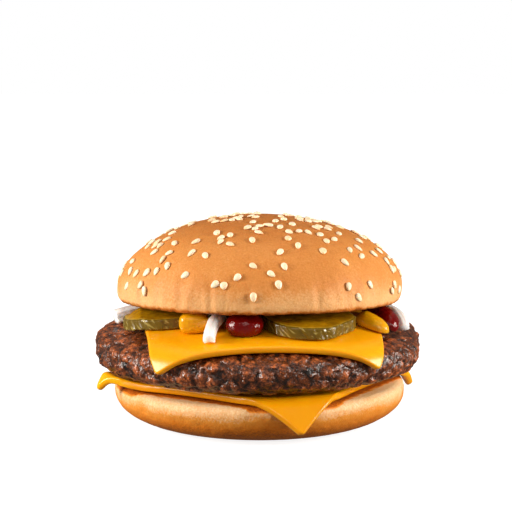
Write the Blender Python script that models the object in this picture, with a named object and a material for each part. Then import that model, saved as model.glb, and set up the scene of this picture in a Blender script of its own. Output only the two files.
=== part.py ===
"""A cheeseburger: seeded bun, beef patty, two draped cheese slices and the toppings under the crown.

Metres, +Z up, front towards -Y. The origin is the middle of the flat foot of the bun's heel.
The stack is worked out from the bottom up, and each layer starts a small gap above the one below.
"""

import math
import random

import bmesh
import bpy
import numpy as np
from mathutils import Euler, Matrix, Vector

MM = 0.001
GAP = 0.3 * MM

# Heel of the bun: widest just under its cut face, rounded down to a flat foot
HEEL_RADIUS = 55.1 * MM
HEEL_CUT_RADIUS = 51.8 * MM
HEEL_FOOT_RADIUS = 35.0 * MM
HEEL_WIDEST_HEIGHT = 12.6 * MM
HEEL_HEIGHT = 15.2 * MM
HEEL_ROUNDNESS = 2.15
HEEL_SEGMENTS = 44

# Cheese: two square slices of one cut
CHEESE_SIDE = 86.5 * MM
CHEESE_THICKNESS = 2.8 * MM
CHEESE_CORNER = 2.2 * MM
CHEESE_CELLS = 16
LOWER_CHEESE_SHIFT = (0.7 * MM, -5.8 * MM)
LOWER_CHEESE_TURN = math.radians(59.5)
UPPER_CHEESE_SHIFT = (0.2 * MM, -12.5 * MM)
UPPER_CHEESE_TURN = math.radians(4.3)
UPPER_CHEESE_PINCH = 0.03

# Patty: a thick disc with a rounded side, squarer at the back than at the front
PATTY_RADIUS = 62.0 * MM
PATTY_BOTTOM = HEEL_HEIGHT + CHEESE_THICKNESS + 4.1 * GAP
PATTY_WIDEST_HEIGHT = 28.0 * MM
PATTY_TOP = 38.2 * MM
PATTY_FLAT_RADIUS = 46.0 * MM
PATTY_FRONT_ROUNDNESS = 2.55
PATTY_BACK_ROUNDNESS = 3.8
PATTY_LOWER_ROUNDNESS = 2.8
PATTY_SEGMENTS = 76
LUMP_SIZE = 7.5 * MM
LUMP_DEPTH = 1.4 * MM
CRUMB_SIZE = 3.6 * MM
CRUMB_DEPTH = 0.8 * MM

# Crown of the bun: a dome over a short rounded skirt, leaning back on the toppings
CROWN_RADIUS = 53.6 * MM
CROWN_DOME = 27.1 * MM
CROWN_SKIRT = 5.3 * MM
CROWN_CUT_RADIUS = 50.6 * MM
CROWN_WIDEST_HEIGHT = 50.3 * MM
CROWN_LEAN = math.radians(-2.9)
CROWN_DOME_ROUNDNESS = 1.97
CROWN_SKIRT_ROUNDNESS = 3.4
CROWN_SEGMENTS = 40

# Sesame seeds, fused to the crown
SEED_LENGTH = 3.5 * MM
SEED_WIDTH = 2.3 * MM
SEED_RISE = 0.65 * MM
SEED_COUNT = 225
SEED_SPACING = 2.7 * MM
SEED_DRAW = 40747
SEED_OUTLINE = [math.radians(60.0 * step) for step in range(6)]

# Toppings: they fold down to the patty just past the edge of the upper slice
DECK_FOLD = 1.0 * MM
DECK_FALL = 8.0 * MM
PICKLE_THICKNESS = 4.2 * MM
PICKLE_SEGMENTS = 22
ONION_SECTION = (3.7 * MM, 3.3 * MM)
SAUCE_SIDES = 10


def smooth(values, start, end):
    """0 before start, 1 after end, and an even S between."""
    share = np.clip((values - start) / (end - start), 0.0, 1.0)
    return share * share * (3.0 - 2.0 * share)


def near(angles, degrees, power):
    """1 at a bearing and falling off to its sides, the faster the higher the power."""
    return np.cos((angles - math.radians(degrees)) / 2).clip(0.0) ** power


def lattice_random(cells, channel):
    """A repeatable number from 0 to 1 for each whole-numbered cell: the broken part of a large sine."""
    mixed = np.sin(cells @ np.array([127.1, 311.7, 74.7]) + 19.19 * channel) * 43758.5453
    return mixed - np.floor(mixed)


def crevices(points, size):
    """Cellular noise: 0 in the middle of a lump of this size, rising to 1 on the line between two lumps."""
    scaled = points / size
    home = np.floor(scaled)
    nearest = np.full(len(points), 9.0)
    second = np.full(len(points), 9.0)
    for offset in np.ndindex(3, 3, 3):
        cells = home + np.array(offset) - 1.0
        centres = cells + np.stack([lattice_random(cells, axis) for axis in range(3)], axis=1)
        distance = np.linalg.norm(centres - scaled, axis=1)
        second = np.minimum(second, np.maximum(nearest, distance))
        nearest = np.minimum(nearest, distance)
    return 1.0 - smooth(second - nearest, 0.0, 0.42)


def arc(start, end, roundness, steps):
    """Points (radius, height) of a quarter superellipse that leaves start vertically and reaches end flat."""
    angles = np.linspace(0.0, math.pi / 2, steps)
    across = np.cos(angles).clip(0.0) ** (2.0 / roundness)
    along = np.sin(angles) ** (2.0 / roundness)
    return np.stack([end[0] + (start[0] - end[0]) * across, start[1] + (end[1] - start[1]) * along], axis=1)


def outward_offset(profile, distance):
    """The profile (radius, height), moved outwards square to itself. It runs from the axis outwards and down."""
    slope = np.gradient(profile, axis=0)
    slope /= np.linalg.norm(slope, axis=1)[:, None]
    return profile + distance * np.stack([-slope[:, 1], slope[:, 0]], axis=1)


def heel_profile():
    """The heel from the rim of its cut face, down its side, to the rim of its foot."""
    rim = arc((HEEL_RADIUS, HEEL_WIDEST_HEIGHT), (HEEL_CUT_RADIUS, HEEL_HEIGHT), 2.0, 4)[::-1]
    side = arc((HEEL_RADIUS, HEEL_WIDEST_HEIGHT), (HEEL_FOOT_RADIUS, 0.0), HEEL_ROUNDNESS, 6)
    return np.vstack([rim, side[1:]])


def patty_profile(roundness):
    """The patty's upper half, from the axis out to its widest ring."""
    return arc((PATTY_RADIUS, PATTY_WIDEST_HEIGHT), (0.0, PATTY_TOP), roundness, 90)[::-1]


def patty_wobble(angles):
    """How far the patty's outline strays from a circle, as a share of its radius."""
    return (
        0.005 * np.cos(5 * angles + 2.1)
        + 0.004 * np.cos(8 * angles + 4.0)
        + 0.0035 * np.cos(2 * angles)
        - 0.004 * np.cos(angles)
        - 0.003 * np.cos(3 * angles)
    )


def wobbled(points):
    """Points near the patty moved outwards or inwards with its outline."""
    radius = np.hypot(points[:, 0], points[:, 1])
    factor = 1.0 + patty_wobble(np.arctan2(points[:, 1], points[:, 0])) * smooth(radius, 0.0, PATTY_RADIUS)
    return points * np.stack([factor, factor, np.ones(len(points))], axis=1)


def back_share(x, y):
    """0 towards the front, where the patty slopes, and 1 at the sides and the back, where it is squarer."""
    return smooth(np.arctan2(np.abs(x), -y), math.radians(50.0), math.radians(95.0))


def patty_top(x, y):
    """Height of the patty's upper surface."""
    radius = np.hypot(x, y)
    factor = 1.0 + patty_wobble(np.arctan2(y, x)) * smooth(radius, 0.0, PATTY_RADIUS)
    share = np.clip(radius / factor / PATTY_RADIUS, 0.0, 1.0)
    roundness = PATTY_FRONT_ROUNDNESS + (PATTY_BACK_ROUNDNESS - PATTY_FRONT_ROUNDNESS) * back_share(x, y)
    rise = (1.0 - share**roundness) ** (1.0 / roundness)
    return PATTY_WIDEST_HEIGHT + (PATTY_TOP - PATTY_WIDEST_HEIGHT) * rise


def patty_underside(radius):
    """Height of the patty's lower surface."""
    share = ((radius - PATTY_FLAT_RADIUS) / (PATTY_RADIUS - PATTY_FLAT_RADIUS)).clip(0.0, 1.0)
    drop = (1.0 - share**PATTY_LOWER_ROUNDNESS) ** (1.0 / PATTY_LOWER_ROUNDNESS)
    return PATTY_WIDEST_HEIGHT - (PATTY_WIDEST_HEIGHT - PATTY_BOTTOM) * drop


def outside_upper_cheese(x, y):
    """Distance outside the upper slice's flat outline, and 0 on it."""
    turn = Matrix.Rotation(-UPPER_CHEESE_TURN, 2)
    dx, dy = x - UPPER_CHEESE_SHIFT[0], y - UPPER_CHEESE_SHIFT[1]
    across = np.abs(turn[0][0] * dx + turn[0][1] * dy) - CHEESE_SIDE / 2
    along = np.abs(turn[1][0] * dx + turn[1][1] * dy) - CHEESE_SIDE / 2
    return np.hypot(across.clip(0.0), along.clip(0.0))


def deck(x, y):
    """Height that the toppings lie at: on the upper slice, or on the patty where the slice ends."""
    slice_height = (CHEESE_THICKNESS + GAP) * (1.0 + 0.16 * smooth(np.hypot(x, y), 38.0 * MM, 56.0 * MM))
    past = ((outside_upper_cheese(x, y) - DECK_FOLD) / DECK_FALL).clip(0.0, 1.0)
    return patty_top(x, y) + 1.5 * GAP + slice_height * (1.0 - past)


def crown_underside(y):
    """Height of the crown's cut face, which leans with the crown."""
    return CROWN_WIDEST_HEIGHT - CROWN_SKIRT / math.cos(CROWN_LEAN) + y * math.tan(CROWN_LEAN)


def between_deck_and_crown(points):
    """Points of a topping pressed up to the deck below it and down from the crown above it."""
    low = deck(points[:, 0], points[:, 1])
    high = np.maximum(crown_underside(points[:, 1]) - GAP, low + 0.6 * MM)
    return np.column_stack([points[:, :2], np.clip(points[:, 2], low, high)])


def material(name, colour, roughness):
    """A Principled material of one colour."""
    made = bpy.data.materials.new(name)
    made.use_nodes = True
    shader = made.node_tree.nodes["Principled BSDF"]
    shader.inputs["Base Color"].default_value = (*colour, 1.0)
    shader.inputs["Roughness"].default_value = roughness
    return made


def piece(name, bm, finish):
    """An object of the finished bmesh, shaded smooth, standing in the scene."""
    bmesh.ops.recalc_face_normals(bm, faces=bm.faces)
    if bm.calc_volume(signed=True) < 0.0:
        bmesh.ops.reverse_faces(bm, faces=bm.faces)
    mesh = bpy.data.meshes.new(name)
    bm.to_mesh(mesh)
    bm.free()
    mesh.shade_smooth()
    mesh.materials.append(finish)
    made = bpy.data.objects.new(name, mesh)
    bpy.context.scene.collection.objects.link(made)
    return made


def moved(bm, rule):
    """Every vertex of the bmesh taken through a rule for an array of points."""
    points = rule(np.array([vertex.co for vertex in bm.verts]))
    for vertex, point in zip(bm.verts, points):
        vertex.co = point


def turned(profile, segments):
    """A closed solid turned about Z from (radius, height) points, with a flat face at each end."""
    bm = bmesh.new()
    line = [bm.verts.new((radius, 0.0, height)) for radius, height in profile]
    edges = [bm.edges.new(ends) for ends in zip(line, line[1:])]
    bmesh.ops.spin(bm, geom=line + edges, axis=(0, 0, 1), angle=2.0 * math.pi, steps=segments)
    bmesh.ops.remove_doubles(bm, verts=bm.verts, dist=1e-6)
    bmesh.ops.holes_fill(bm, edges=bm.edges, sides=segments)
    return bm


def heel():
    """The bottom half of the bun."""
    bm = turned(heel_profile(), HEEL_SEGMENTS)

    def uneven(points):
        angles = np.arctan2(points[:, 1], points[:, 0])
        lift = smooth(points[:, 2], 1.0 * MM, 6.0 * MM) * (1.0 - smooth(points[:, 2], 8.0 * MM, 12.0 * MM))
        factor = 1.0 + lift * (0.004 * np.cos(2 * angles + 0.4) + 0.003 * np.cos(5 * angles + 1.0))
        return points * np.stack([factor, factor, np.ones(len(points))], axis=1)

    moved(bm, uneven)
    return piece("bun_heel", bm, material("baked_heel", (0.72, 0.38, 0.13), 0.6))


def draped(points, profile, steepest):
    """A flat sheet's points laid over a turned shape and given by how far they are from its axis.

    A point keeps its distance from the axis as a length along the profile. Where the profile gets
    steeper than the sheet's own steepest angle at that point, the sheet goes straight on.
    """
    reach = np.hypot(points[:, 0], points[:, 1])
    steps = np.diff(profile, axis=0)
    length = np.concatenate([[0.0], np.cumsum(np.linalg.norm(steps, axis=1))])
    slope = np.arctan2(-steps[:, 1], steps[:, 0])
    middle = (length[1:] + length[:-1]) / 2
    leaves = np.interp(steepest, np.maximum.accumulate(slope), middle)
    on = np.minimum(reach, leaves)
    beyond = reach - on
    radius = np.interp(on, length, profile[:, 0]) + beyond * np.cos(steepest)
    height = np.interp(on, length, profile[:, 1]) - beyond * np.sin(steepest)
    share = radius / np.maximum(reach, 1e-9)
    return np.column_stack([points[:, 0] * share, points[:, 1] * share, height])


def slice_grid(shift, turn, pinch=0.0):
    """A flat square grid with rounded corners, finer towards its edges, in its place over the burger.

    Pinch is the share of its width that the slice loses at its front edge.
    """
    bm = bmesh.new()
    bmesh.ops.create_grid(bm, x_segments=CHEESE_CELLS, y_segments=CHEESE_CELLS, size=1.0)

    def placed(points):
        spread = np.sin(points[:, :2] * math.radians(62.0)) / math.sin(math.radians(62.0))
        flat = spread * CHEESE_SIDE / 2
        inner = CHEESE_SIDE / 2 - CHEESE_CORNER
        past = np.maximum(np.abs(flat) - inner, 0.0)
        over = np.linalg.norm(past, axis=1)
        corner = (past[:, 0] > 0) & (past[:, 1] > 0)
        pull = np.where(corner, past.max(axis=1) / np.maximum(over, 1e-9), 1.0)[:, None]
        flat = np.sign(flat) * (np.minimum(np.abs(flat), inner) + past * pull)
        flat[:, 0] *= 1.0 - pinch * smooth(-flat[:, 1], -0.1 * CHEESE_SIDE, CHEESE_SIDE / 2)
        across = flat[:, 0] * math.cos(turn) - flat[:, 1] * math.sin(turn) + shift[0]
        along = flat[:, 0] * math.sin(turn) + flat[:, 1] * math.cos(turn) + shift[1]
        return np.column_stack([across, along, np.zeros(len(points))])

    moved(bm, placed)
    return bm


def cheese_piece(name, bm):
    """A slice whose grid gets its thickness evenly on both sides."""
    made = piece(name, bm, material(name + "_cheese", (0.93, 0.45, 0.03), 0.35))
    thickness = made.modifiers.new("Thickness", "SOLIDIFY")
    thickness.thickness = CHEESE_THICKNESS
    thickness.offset = 0.0
    thickness.use_even_offset = True
    return made


def lower_cheese():
    """The slice on the heel, whose front corner hangs furthest down the bun."""
    bm = slice_grid(LOWER_CHEESE_SHIFT, LOWER_CHEESE_TURN)
    support = np.vstack([[(0.0, HEEL_HEIGHT)], heel_profile()[:7]])
    rounded = np.array([np.interp(np.linspace(0, 7, 71), range(8), axis) for axis in support.T]).T
    middle = outward_offset(rounded, 3.1 * GAP + CHEESE_THICKNESS / 2)

    def laid(points):
        angles = np.arctan2(points[:, 1], points[:, 0])
        reach = np.hypot(points[:, 0], points[:, 1])
        front, right, left = near(angles, -76.0, 66), near(angles, 9.0, 120), near(angles, -162.0, 90)
        steepest = np.radians(12.0 - 9.0 * left + 49.0 * front + 50.0 * right)
        stretch = 1.0 + 0.012 * front + 0.055 * right + 0.03 * left
        hung = draped(points * np.stack([stretch, stretch, stretch], axis=1), middle, steepest)
        curl = 1.6 * near(angles, -155.0, 90) + 6.8 * near(angles, -177.0, 170)
        hung[:, 2] += MM * curl * smooth(reach, 46.0 * MM, 59.0 * MM)
        radius = np.hypot(hung[:, 0], hung[:, 1])
        room = patty_underside(radius) - CHEESE_THICKNESS / 2 - GAP * (1.0 + 1.4 * smooth(radius, 46 * MM, 52 * MM))
        hung[:, 2] = np.minimum(hung[:, 2], room)
        hung[:, 2] -= 6.4 * MM * near(angles, -161.0, 1100) * ((reach - 56.0 * MM) / (6.0 * MM)).clip(0.0) ** 2
        return hung

    moved(bm, laid)
    return cheese_piece("cheese_lower", bm)


def upper_cheese():
    """The slice on the patty, whose two front corners hang over the patty's side."""
    bm = slice_grid(UPPER_CHEESE_SHIFT, UPPER_CHEESE_TURN, UPPER_CHEESE_PINCH)
    rise = 1.5 * GAP + CHEESE_THICKNESS / 2
    front = outward_offset(patty_profile(PATTY_FRONT_ROUNDNESS), rise)
    back = outward_offset(patty_profile(PATTY_BACK_ROUNDNESS), rise)

    def laid(points):
        steepest = np.full(len(points), math.radians(68.0))
        share = back_share(points[:, 0], points[:, 1])[:, None]
        return wobbled(draped(points, front, steepest) * (1.0 - share) + draped(points, back, steepest) * share)

    moved(bm, laid)
    return cheese_piece("cheese_upper", bm)


def patty():
    """The beef, with lumps and crumbs of mince that sink below its even outline and never stand over it."""
    upper = patty_profile(PATTY_FRONT_ROUNDNESS)
    radii = np.array([27, 35, 41, 46, 50, 53.5, 56.5, 59, 60.7]) * MM
    heights = np.interp(radii, upper[:, 0], upper[:, 1])
    above = np.column_stack([radii, heights])
    below = arc((PATTY_RADIUS, PATTY_WIDEST_HEIGHT), (PATTY_FLAT_RADIUS, PATTY_BOTTOM), PATTY_LOWER_ROUNDNESS, 8)
    bm = turned(np.vstack([above, below]), PATTY_SEGMENTS)

    def minced(points):
        shaped = wobbled(points)
        over = points[:, 2] > PATTY_WIDEST_HEIGHT
        shaped[over, 2] = patty_top(shaped[over, 0], shaped[over, 1])
        inwards = shaped - np.array([0.0, 0.0, PATTY_WIDEST_HEIGHT])
        inwards[:, :2] *= 0.35
        inwards /= np.linalg.norm(inwards, axis=1)[:, None]
        relief = LUMP_DEPTH * crevices(shaped, LUMP_SIZE) + CRUMB_DEPTH * crevices(shaped, CRUMB_SIZE)
        share = smooth(np.hypot(shaped[:, 0], shaped[:, 1]), 38.0 * MM, 48.0 * MM)
        return shaped - inwards * (relief * share)[:, None]

    moved(bm, minced)
    return piece("patty", bm, material("seared_beef", (0.11, 0.045, 0.025), 0.45))


def crown_profile():
    """The crown from near the top of its dome, over its widest ring, to the rim of its cut face."""
    dome = arc((CROWN_RADIUS, 0.0), (0.0, CROWN_DOME), CROWN_DOME_ROUNDNESS, 11)[::-1]
    skirt = arc((CROWN_RADIUS, 0.0), (CROWN_CUT_RADIUS, -CROWN_SKIRT), CROWN_SKIRT_ROUNDNESS, 5)
    dome[0, 0] = 3.0 * MM
    return np.vstack([dome, skirt[1:]])


def crown_unevenness(points):
    """How far the crust swells or sinks, by slow waves round and over the dome."""
    angles = np.arctan2(points[:, 1], points[:, 0])
    edge = smooth(np.hypot(points[:, 0], points[:, 1]), 15.0 * MM, 50.0 * MM)
    waves = 0.35 * np.cos(3 * angles + 1.0) + 0.25 * np.cos(7 * angles + 0.3)
    return waves * MM * edge * smooth(points[:, 2], -CROWN_SKIRT, 4.0 * MM)


def seed_places():
    """Seeds dropped at random over the dome's area, fewer low at the front, and never on one another."""
    draw = random.Random(SEED_DRAW)
    placed = []
    while len(placed) < SEED_COUNT:
        height = draw.uniform(-0.05, 1.0)
        angle = draw.uniform(-math.pi, math.pi)
        turn = draw.gauss(0.0, math.radians(45.0))
        front = max(0.0, math.cos(angle + math.pi / 2)) ** 2
        area = math.hypot(CROWN_DOME * math.sqrt(1.0 - height**2), CROWN_RADIUS * height) / CROWN_RADIUS
        wanted = area * (1.0 - 0.5 * front * (height < 0.62))
        radius = CROWN_RADIUS * (1.0 - max(height, 0.0) ** CROWN_DOME_ROUNDNESS) ** (1 / CROWN_DOME_ROUNDNESS)
        spot = (radius * math.cos(angle), radius * math.sin(angle), CROWN_DOME * height)
        if draw.random() > wanted or any(math.dist(spot, other) < SEED_SPACING for other, _ in placed):
            continue
        placed.append((spot, turn))
    return placed


def seed(spot, turn, collection):
    """One seed: a flat drop half sunk in the crust with its long side downhill, give or take its turn.

    Its widest outline lies under the crust and is drawn wider, so that it meets the crust at the seed's size.
    """
    spot = Vector(spot)
    normal = Vector((spot.x, spot.y, spot.z * (CROWN_RADIUS / CROWN_DOME) ** 2)).normalized()
    downhill = (Vector((0, 0, -1)) + normal * normal.z).normalized()
    axes = Matrix((downhill, normal.cross(downhill), normal)).transposed().to_4x4()
    outline = [(0.68 * math.cos(a), 0.68 * math.sin(a) * (1.0 - 0.3 * math.cos(a)), -0.7) for a in SEED_OUTLINE]
    bm = bmesh.new()
    for x, y, z in outline + [(-0.05, 0.0, 1.0)]:
        bm.verts.new((x * SEED_LENGTH, y * SEED_WIDTH, z * SEED_RISE))
    bmesh.ops.convex_hull(bm, input=bm.verts)
    lift = crown_unevenness(np.array([spot]))[0]
    bm.transform(Matrix.Translation(spot + normal * lift) @ axes @ Matrix.Rotation(turn, 4, "Z"))
    made = piece("seed", bm, None)
    bpy.context.scene.collection.objects.unlink(made)
    collection.objects.link(made)


def crown():
    """The top half of the bun with its seeds fused on, leaning back a little on the toppings."""
    bm = turned(crown_profile(), CROWN_SEGMENTS)

    def risen(points):
        normals = points * np.array([1.0, 1.0, (CROWN_RADIUS / CROWN_DOME) ** 2])
        normals /= np.linalg.norm(normals, axis=1)[:, None]
        return points + normals * crown_unevenness(points)[:, None]

    moved(bm, risen)
    made = piece("bun_crown", bm, material("baked_crown", (0.66, 0.30, 0.09), 0.5))
    seeds = bpy.data.collections.new("seeds")
    bpy.context.scene.collection.children.link(seeds)
    for spot, turn in seed_places():
        seed(spot, turn, seeds)
    fuse = made.modifiers.new("Fuse seeds", "BOOLEAN")
    fuse.operation = "UNION"
    fuse.operand_type = "COLLECTION"
    fuse.collection = seeds
    fuse.solver = "MANIFOLD"
    bpy.context.view_layer.objects.active = made
    bpy.ops.object.modifier_apply(modifier=fuse.name)
    for spent in list(seeds.objects):
        bpy.data.objects.remove(spent)
    bpy.data.collections.remove(seeds)
    made.location = (0.0, 0.0, CROWN_WIDEST_HEIGHT)
    made.rotation_euler = Euler((CROWN_LEAN, 0.0, 0.0))
    return made


def pickle_slice(name, centre, radius, thickness=PICKLE_THICKNESS, bulges=(), thin=(0.0, 1, 0.0), folds=()):
    """A round slice lying on the deck.

    Bulges are (degrees, power, share) by which its outline swells or shrinks at a bearing, and thin
    is the same for how much thinner it is cut towards one side. Folds are the places across, from
    its middle, where it gets an edge.
    """
    shares = [0.42, 0.75, 1.0]
    top = [(radius * share, thickness) for share in shares]
    bottom = [(radius * share, 0.0) for share in reversed(shares)]
    bm = turned(top + bottom, PICKLE_SEGMENTS)
    bmesh.ops.poke(bm, faces=[face for face in bm.faces if len(face.verts) == PICKLE_SEGMENTS])
    for fold in folds:
        everything = bm.verts[:] + bm.edges[:] + bm.faces[:]
        bmesh.ops.bisect_plane(bm, geom=everything, plane_co=(fold, 0, 0), plane_no=(1, 0, 0))

    def laid(points):
        angles = np.arctan2(points[:, 1], points[:, 0])
        reach = np.hypot(points[:, 0], points[:, 1]) / radius
        rise = points[:, 2] * (1.0 - thin[2] * near(angles, thin[0], thin[1]) * reach)
        wave = 1.0 + 0.012 * np.cos(6 * angles)
        wave += sum(share * near(angles, degrees, power) for degrees, power, share in bulges)
        x, y = points[:, 0] * wave + centre[0], points[:, 1] * wave + centre[1]
        height = deck(x, y) + rise
        return np.column_stack([x, y, np.minimum(height, crown_underside(y) - GAP)])

    moved(bm, laid)
    return piece(name, bm, material(name + "_flesh", (0.32, 0.25, 0.03), 0.35))


def swept(path, sections):
    """A closed solid whose section is carried along a path. A section is a list of (side, up) points."""
    bm = bmesh.new()
    path = [Vector(point) for point in path]
    rings = []
    for index, (middle, section) in enumerate(zip(path, sections)):
        ahead = path[min(index + 1, len(path) - 1)] - path[max(index - 1, 0)]
        side = ahead.cross(Vector((0, 0, 1))).normalized()
        up = side.cross(ahead).normalized()
        rings.append([bm.verts.new(middle + side * a + up * b) for a, b in section])
    edges = [[bm.edges.new((ring[i - 1], ring[i])) for i in range(len(ring))] for ring in rings]
    for behind, before in zip(edges, edges[1:]):
        bmesh.ops.bridge_loops(bm, edges=behind + before)
    bmesh.ops.contextual_create(bm, geom=edges[0])
    bmesh.ops.contextual_create(bm, geom=edges[-1])
    return bm


def curve_through(points, count):
    """A smooth path through a few points, by a quadratic or cubic through all of them."""
    points = np.array(points) * MM
    stations = np.linspace(0.0, 1.0, len(points))
    finer = np.linspace(0.0, 1.0, count)
    degree = len(points) - 1
    return np.column_stack([np.polyval(np.polyfit(stations, axis, degree), finer) for axis in points.T])


def onion_strip(name, points, section=ONION_SECTION):
    """A strip of onion with a rounded back, along a path given in millimetres."""
    width, thickness = section
    outline = [(-0.5, -0.34), (-0.42, 0.3), (0.0, 0.5), (0.42, 0.3), (0.5, -0.34), (0.0, -0.5)]
    path = curve_through(points, 8)
    shares = [0.92, 1.0, 1.0, 1.0, 1.0, 1.0, 1.0, 0.94]
    sections = [[(a * width * share, b * thickness * share) for a, b in outline] for share in shares]
    bm = swept(path, sections)
    moved(bm, between_deck_and_crown)
    return piece(name, bm, material(name + "_flesh", (0.86, 0.80, 0.76), 0.3))


def sauce(name, points, width, colour, blunt=3.2, square=2.0, taper=1.0, squat=0.85):
    """A squeezed dollop along a path given in millimetres, flat where it meets the deck or the crown.

    Blunt is how blunt its ends are, square is how square its section is, taper is the width at its
    end as a share of the width at its start, and squat is its height as a share of its width.
    """
    path = curve_through(points, 8)
    stations = np.linspace(-1.0, 1.0, 8)
    girth = (1.0 - np.abs(stations * 0.97) ** blunt) ** (1 / 2.4)
    halves = girth * width / 2 * (1.0 + (taper - 1.0) * (stations + 1.0) / 2)
    turns = np.arange(SAUCE_SIDES) * 2.0 * math.pi / SAUCE_SIDES
    across = np.sign(np.cos(turns)) * np.abs(np.cos(turns)) ** (2 / square)
    along = squat * np.sign(np.sin(turns)) * np.abs(np.sin(turns)) ** (2 / square)
    bm = swept(path, [np.column_stack([half * across, half * along]) for half in halves])
    moved(bm, between_deck_and_crown)
    return piece(name, bm, material(name + "_sauce", colour, 0.15))


def toppings():
    """All that lies between the upper slice and the crown."""
    folds = (-11.7 * MM, -15.3 * MM)
    cut_short = ((-100.0, 12, 0.025), (140.0, 20, -0.40))
    lopsided = ((-112.0, 12, 0.13), (-42.0, 30, -0.09))
    thin = (155.0, 6, 0.25)
    pickle_slice("pickle_left", (-30.7 * MM, -15.0 * MM), 19.6 * MM, 3.7 * MM, cut_short, thin, folds)
    pickle_slice("pickle_right", (18.0 * MM, -32.2 * MM), 16.9 * MM, 4.1 * MM, lopsided)
    pickle_slice("pickle_back", (-14.0 * MM, 44.0 * MM), 12.0 * MM)
    mustard = (0.80, 0.38, 0.02)
    ketchup = (0.30, 0.008, 0.006)
    left = [(-23.2, -34.6, 42.9), (-23.2, -39, 42.8), (-23.2, -43.5, 42.5)]
    sauce("mustard_left", left, 10.8 * MM, mustard, blunt=4.0, square=2.5, squat=0.72)
    right = [(36.6, -23.6, 42.3), (41, -28, 40.4), (46.2, -32.4, 38)]
    sauce("mustard_right", right, 8.8 * MM, mustard, taper=0.78)
    middle = [(-5.3, -49.8, 42.3), (-5.3, -43.3, 42.7), (-5.3, -36.8, 43.1)]
    sauce("ketchup_middle", middle, 13.8 * MM, ketchup, blunt=2.2, squat=0.68)
    sauce("ketchup_right", [(39.4, -7.6, 42.9), (45.9, -16.4, 41.2), (47.8, -25.5, 37.4)], 8.4 * MM, ketchup)
    front = [(-13.7, -36, 45.5), (-15.2, -42, 44.2), (-16.8, -47.3, 42.4), (-17.4, -53.7, 38.7)]
    onion_strip("onion_front", front, (4.2 * MM, 4.4 * MM))
    onion_strip("onion_left", [(-37.4, 4.8, 41), (-46, -0.9, 40.3), (-55, -4.6, 38.6)], (7.4 * MM, 5.2 * MM))
    onion_strip("onion_right", [(43.8, 4, 42), (50.5, -3.5, 41.1), (53.1, -12, 39.3), (53.9, -18.4, 37.2)])
    onion_strip("onion_back", [(14, 40, 40.5), (20, 47, 39.5), (24, 55, 37.5)])


def main():
    """The whole burger, from the heel up."""
    for startup in list(bpy.data.objects):
        bpy.data.objects.remove(startup)
    heel()
    lower_cheese()
    patty()
    upper_cheese()
    toppings()
    crown()


main()
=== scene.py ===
"""Looks of a cheeseburger: seeded bun, seared patty, two draped cheese slices, pickles, onion and sauces.

Metres, +Z up, front towards -Y, the origin at the middle of the flat foot of the bun's heel.
Each edible piece is a closed surface worked out as whole arrays, in the place of the solid it stands for.
"""

from __future__ import annotations

import logging
import math
import random
from collections.abc import Callable, Mapping, Sequence
from dataclasses import dataclass, field
from enum import Enum

import bpy
import numpy as np
from mathutils import Matrix, Vector


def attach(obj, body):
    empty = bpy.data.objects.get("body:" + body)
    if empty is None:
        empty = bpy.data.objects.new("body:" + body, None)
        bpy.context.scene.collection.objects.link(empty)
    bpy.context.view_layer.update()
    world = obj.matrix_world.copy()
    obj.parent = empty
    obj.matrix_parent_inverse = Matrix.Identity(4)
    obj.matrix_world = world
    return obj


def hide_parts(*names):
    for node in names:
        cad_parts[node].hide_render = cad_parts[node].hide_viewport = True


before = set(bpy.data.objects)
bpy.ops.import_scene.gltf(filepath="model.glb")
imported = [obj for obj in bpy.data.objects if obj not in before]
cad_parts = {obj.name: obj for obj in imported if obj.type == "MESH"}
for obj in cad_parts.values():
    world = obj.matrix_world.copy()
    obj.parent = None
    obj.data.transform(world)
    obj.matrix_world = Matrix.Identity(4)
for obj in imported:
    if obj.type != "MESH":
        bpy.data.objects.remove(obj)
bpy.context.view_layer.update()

LOG = logging.getLogger("cheeseburger")
MM = 0.001
GAP = 0.3 * MM
WHITE = (1.0, 1.0, 1.0, 1.0)
Array = np.ndarray
Colour = tuple[float, float, float]
Socket = bpy.types.NodeSocket


class Slot(Enum):
    """The record's finishes; each sauce holds one."""

    CROWN = "bun_crown"
    HEEL = "bun_heel"
    CHEESE = "cheese"
    PATTY = "patty"
    PICKLE = "pickle"
    MUSTARD = "mustard"
    KETCHUP = "ketchup"
    ONION = "onion"


# Numbers that shapes are made of


def smooth(values: Array, start: float, end: float) -> Array:
    """0 before start, 1 after end, and an even S between: 3t^2 - 2t^3 of the share t of the way."""
    share = np.clip((values - start) / (end - start), 0.0, 1.0)
    return share * share * (3.0 - 2.0 * share)


def lattice_random(cells: Array, channel: float) -> Array:
    """A repeatable number from 0 to 1 for each whole-numbered cell: the broken part of a large sine."""
    mixed = np.sin(cells @ np.array([127.1, 311.7, 74.7]) + 19.19 * channel) * 43758.5453
    return mixed - np.floor(mixed)


def cell_distances(points: Array, size: float) -> tuple[Array, Array]:
    """Distances to the nearest and the second nearest lump middle, in lump sizes.

    Args:
        points: Places, one row each.
        size: Mean distance between lump middles, one of which is at random in each cubic cell.

    Returns:
        The smallest and the second smallest distance of each place.
    """
    scaled = points / size
    home = np.floor(scaled)
    nearest = np.full(len(points), 9.0)
    second = np.full(len(points), 9.0)
    for offset in np.ndindex(3, 3, 3):
        cells = home + np.array(offset) - 1.0
        middles = cells + np.stack([lattice_random(cells, axis) for axis in range(3)], axis=1)
        distance = np.linalg.norm(middles - scaled, axis=1)
        second = np.minimum(second, np.maximum(nearest, distance))
        nearest = np.minimum(nearest, distance)
    return nearest, second


def crevices(points: Array, size: float) -> Array:
    """0 in the middle of a lump of this size, rising to 1 on the line between two lumps."""
    nearest, second = cell_distances(points, size)
    return 1.0 - smooth(second - nearest, 0.0, 0.42)


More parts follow.
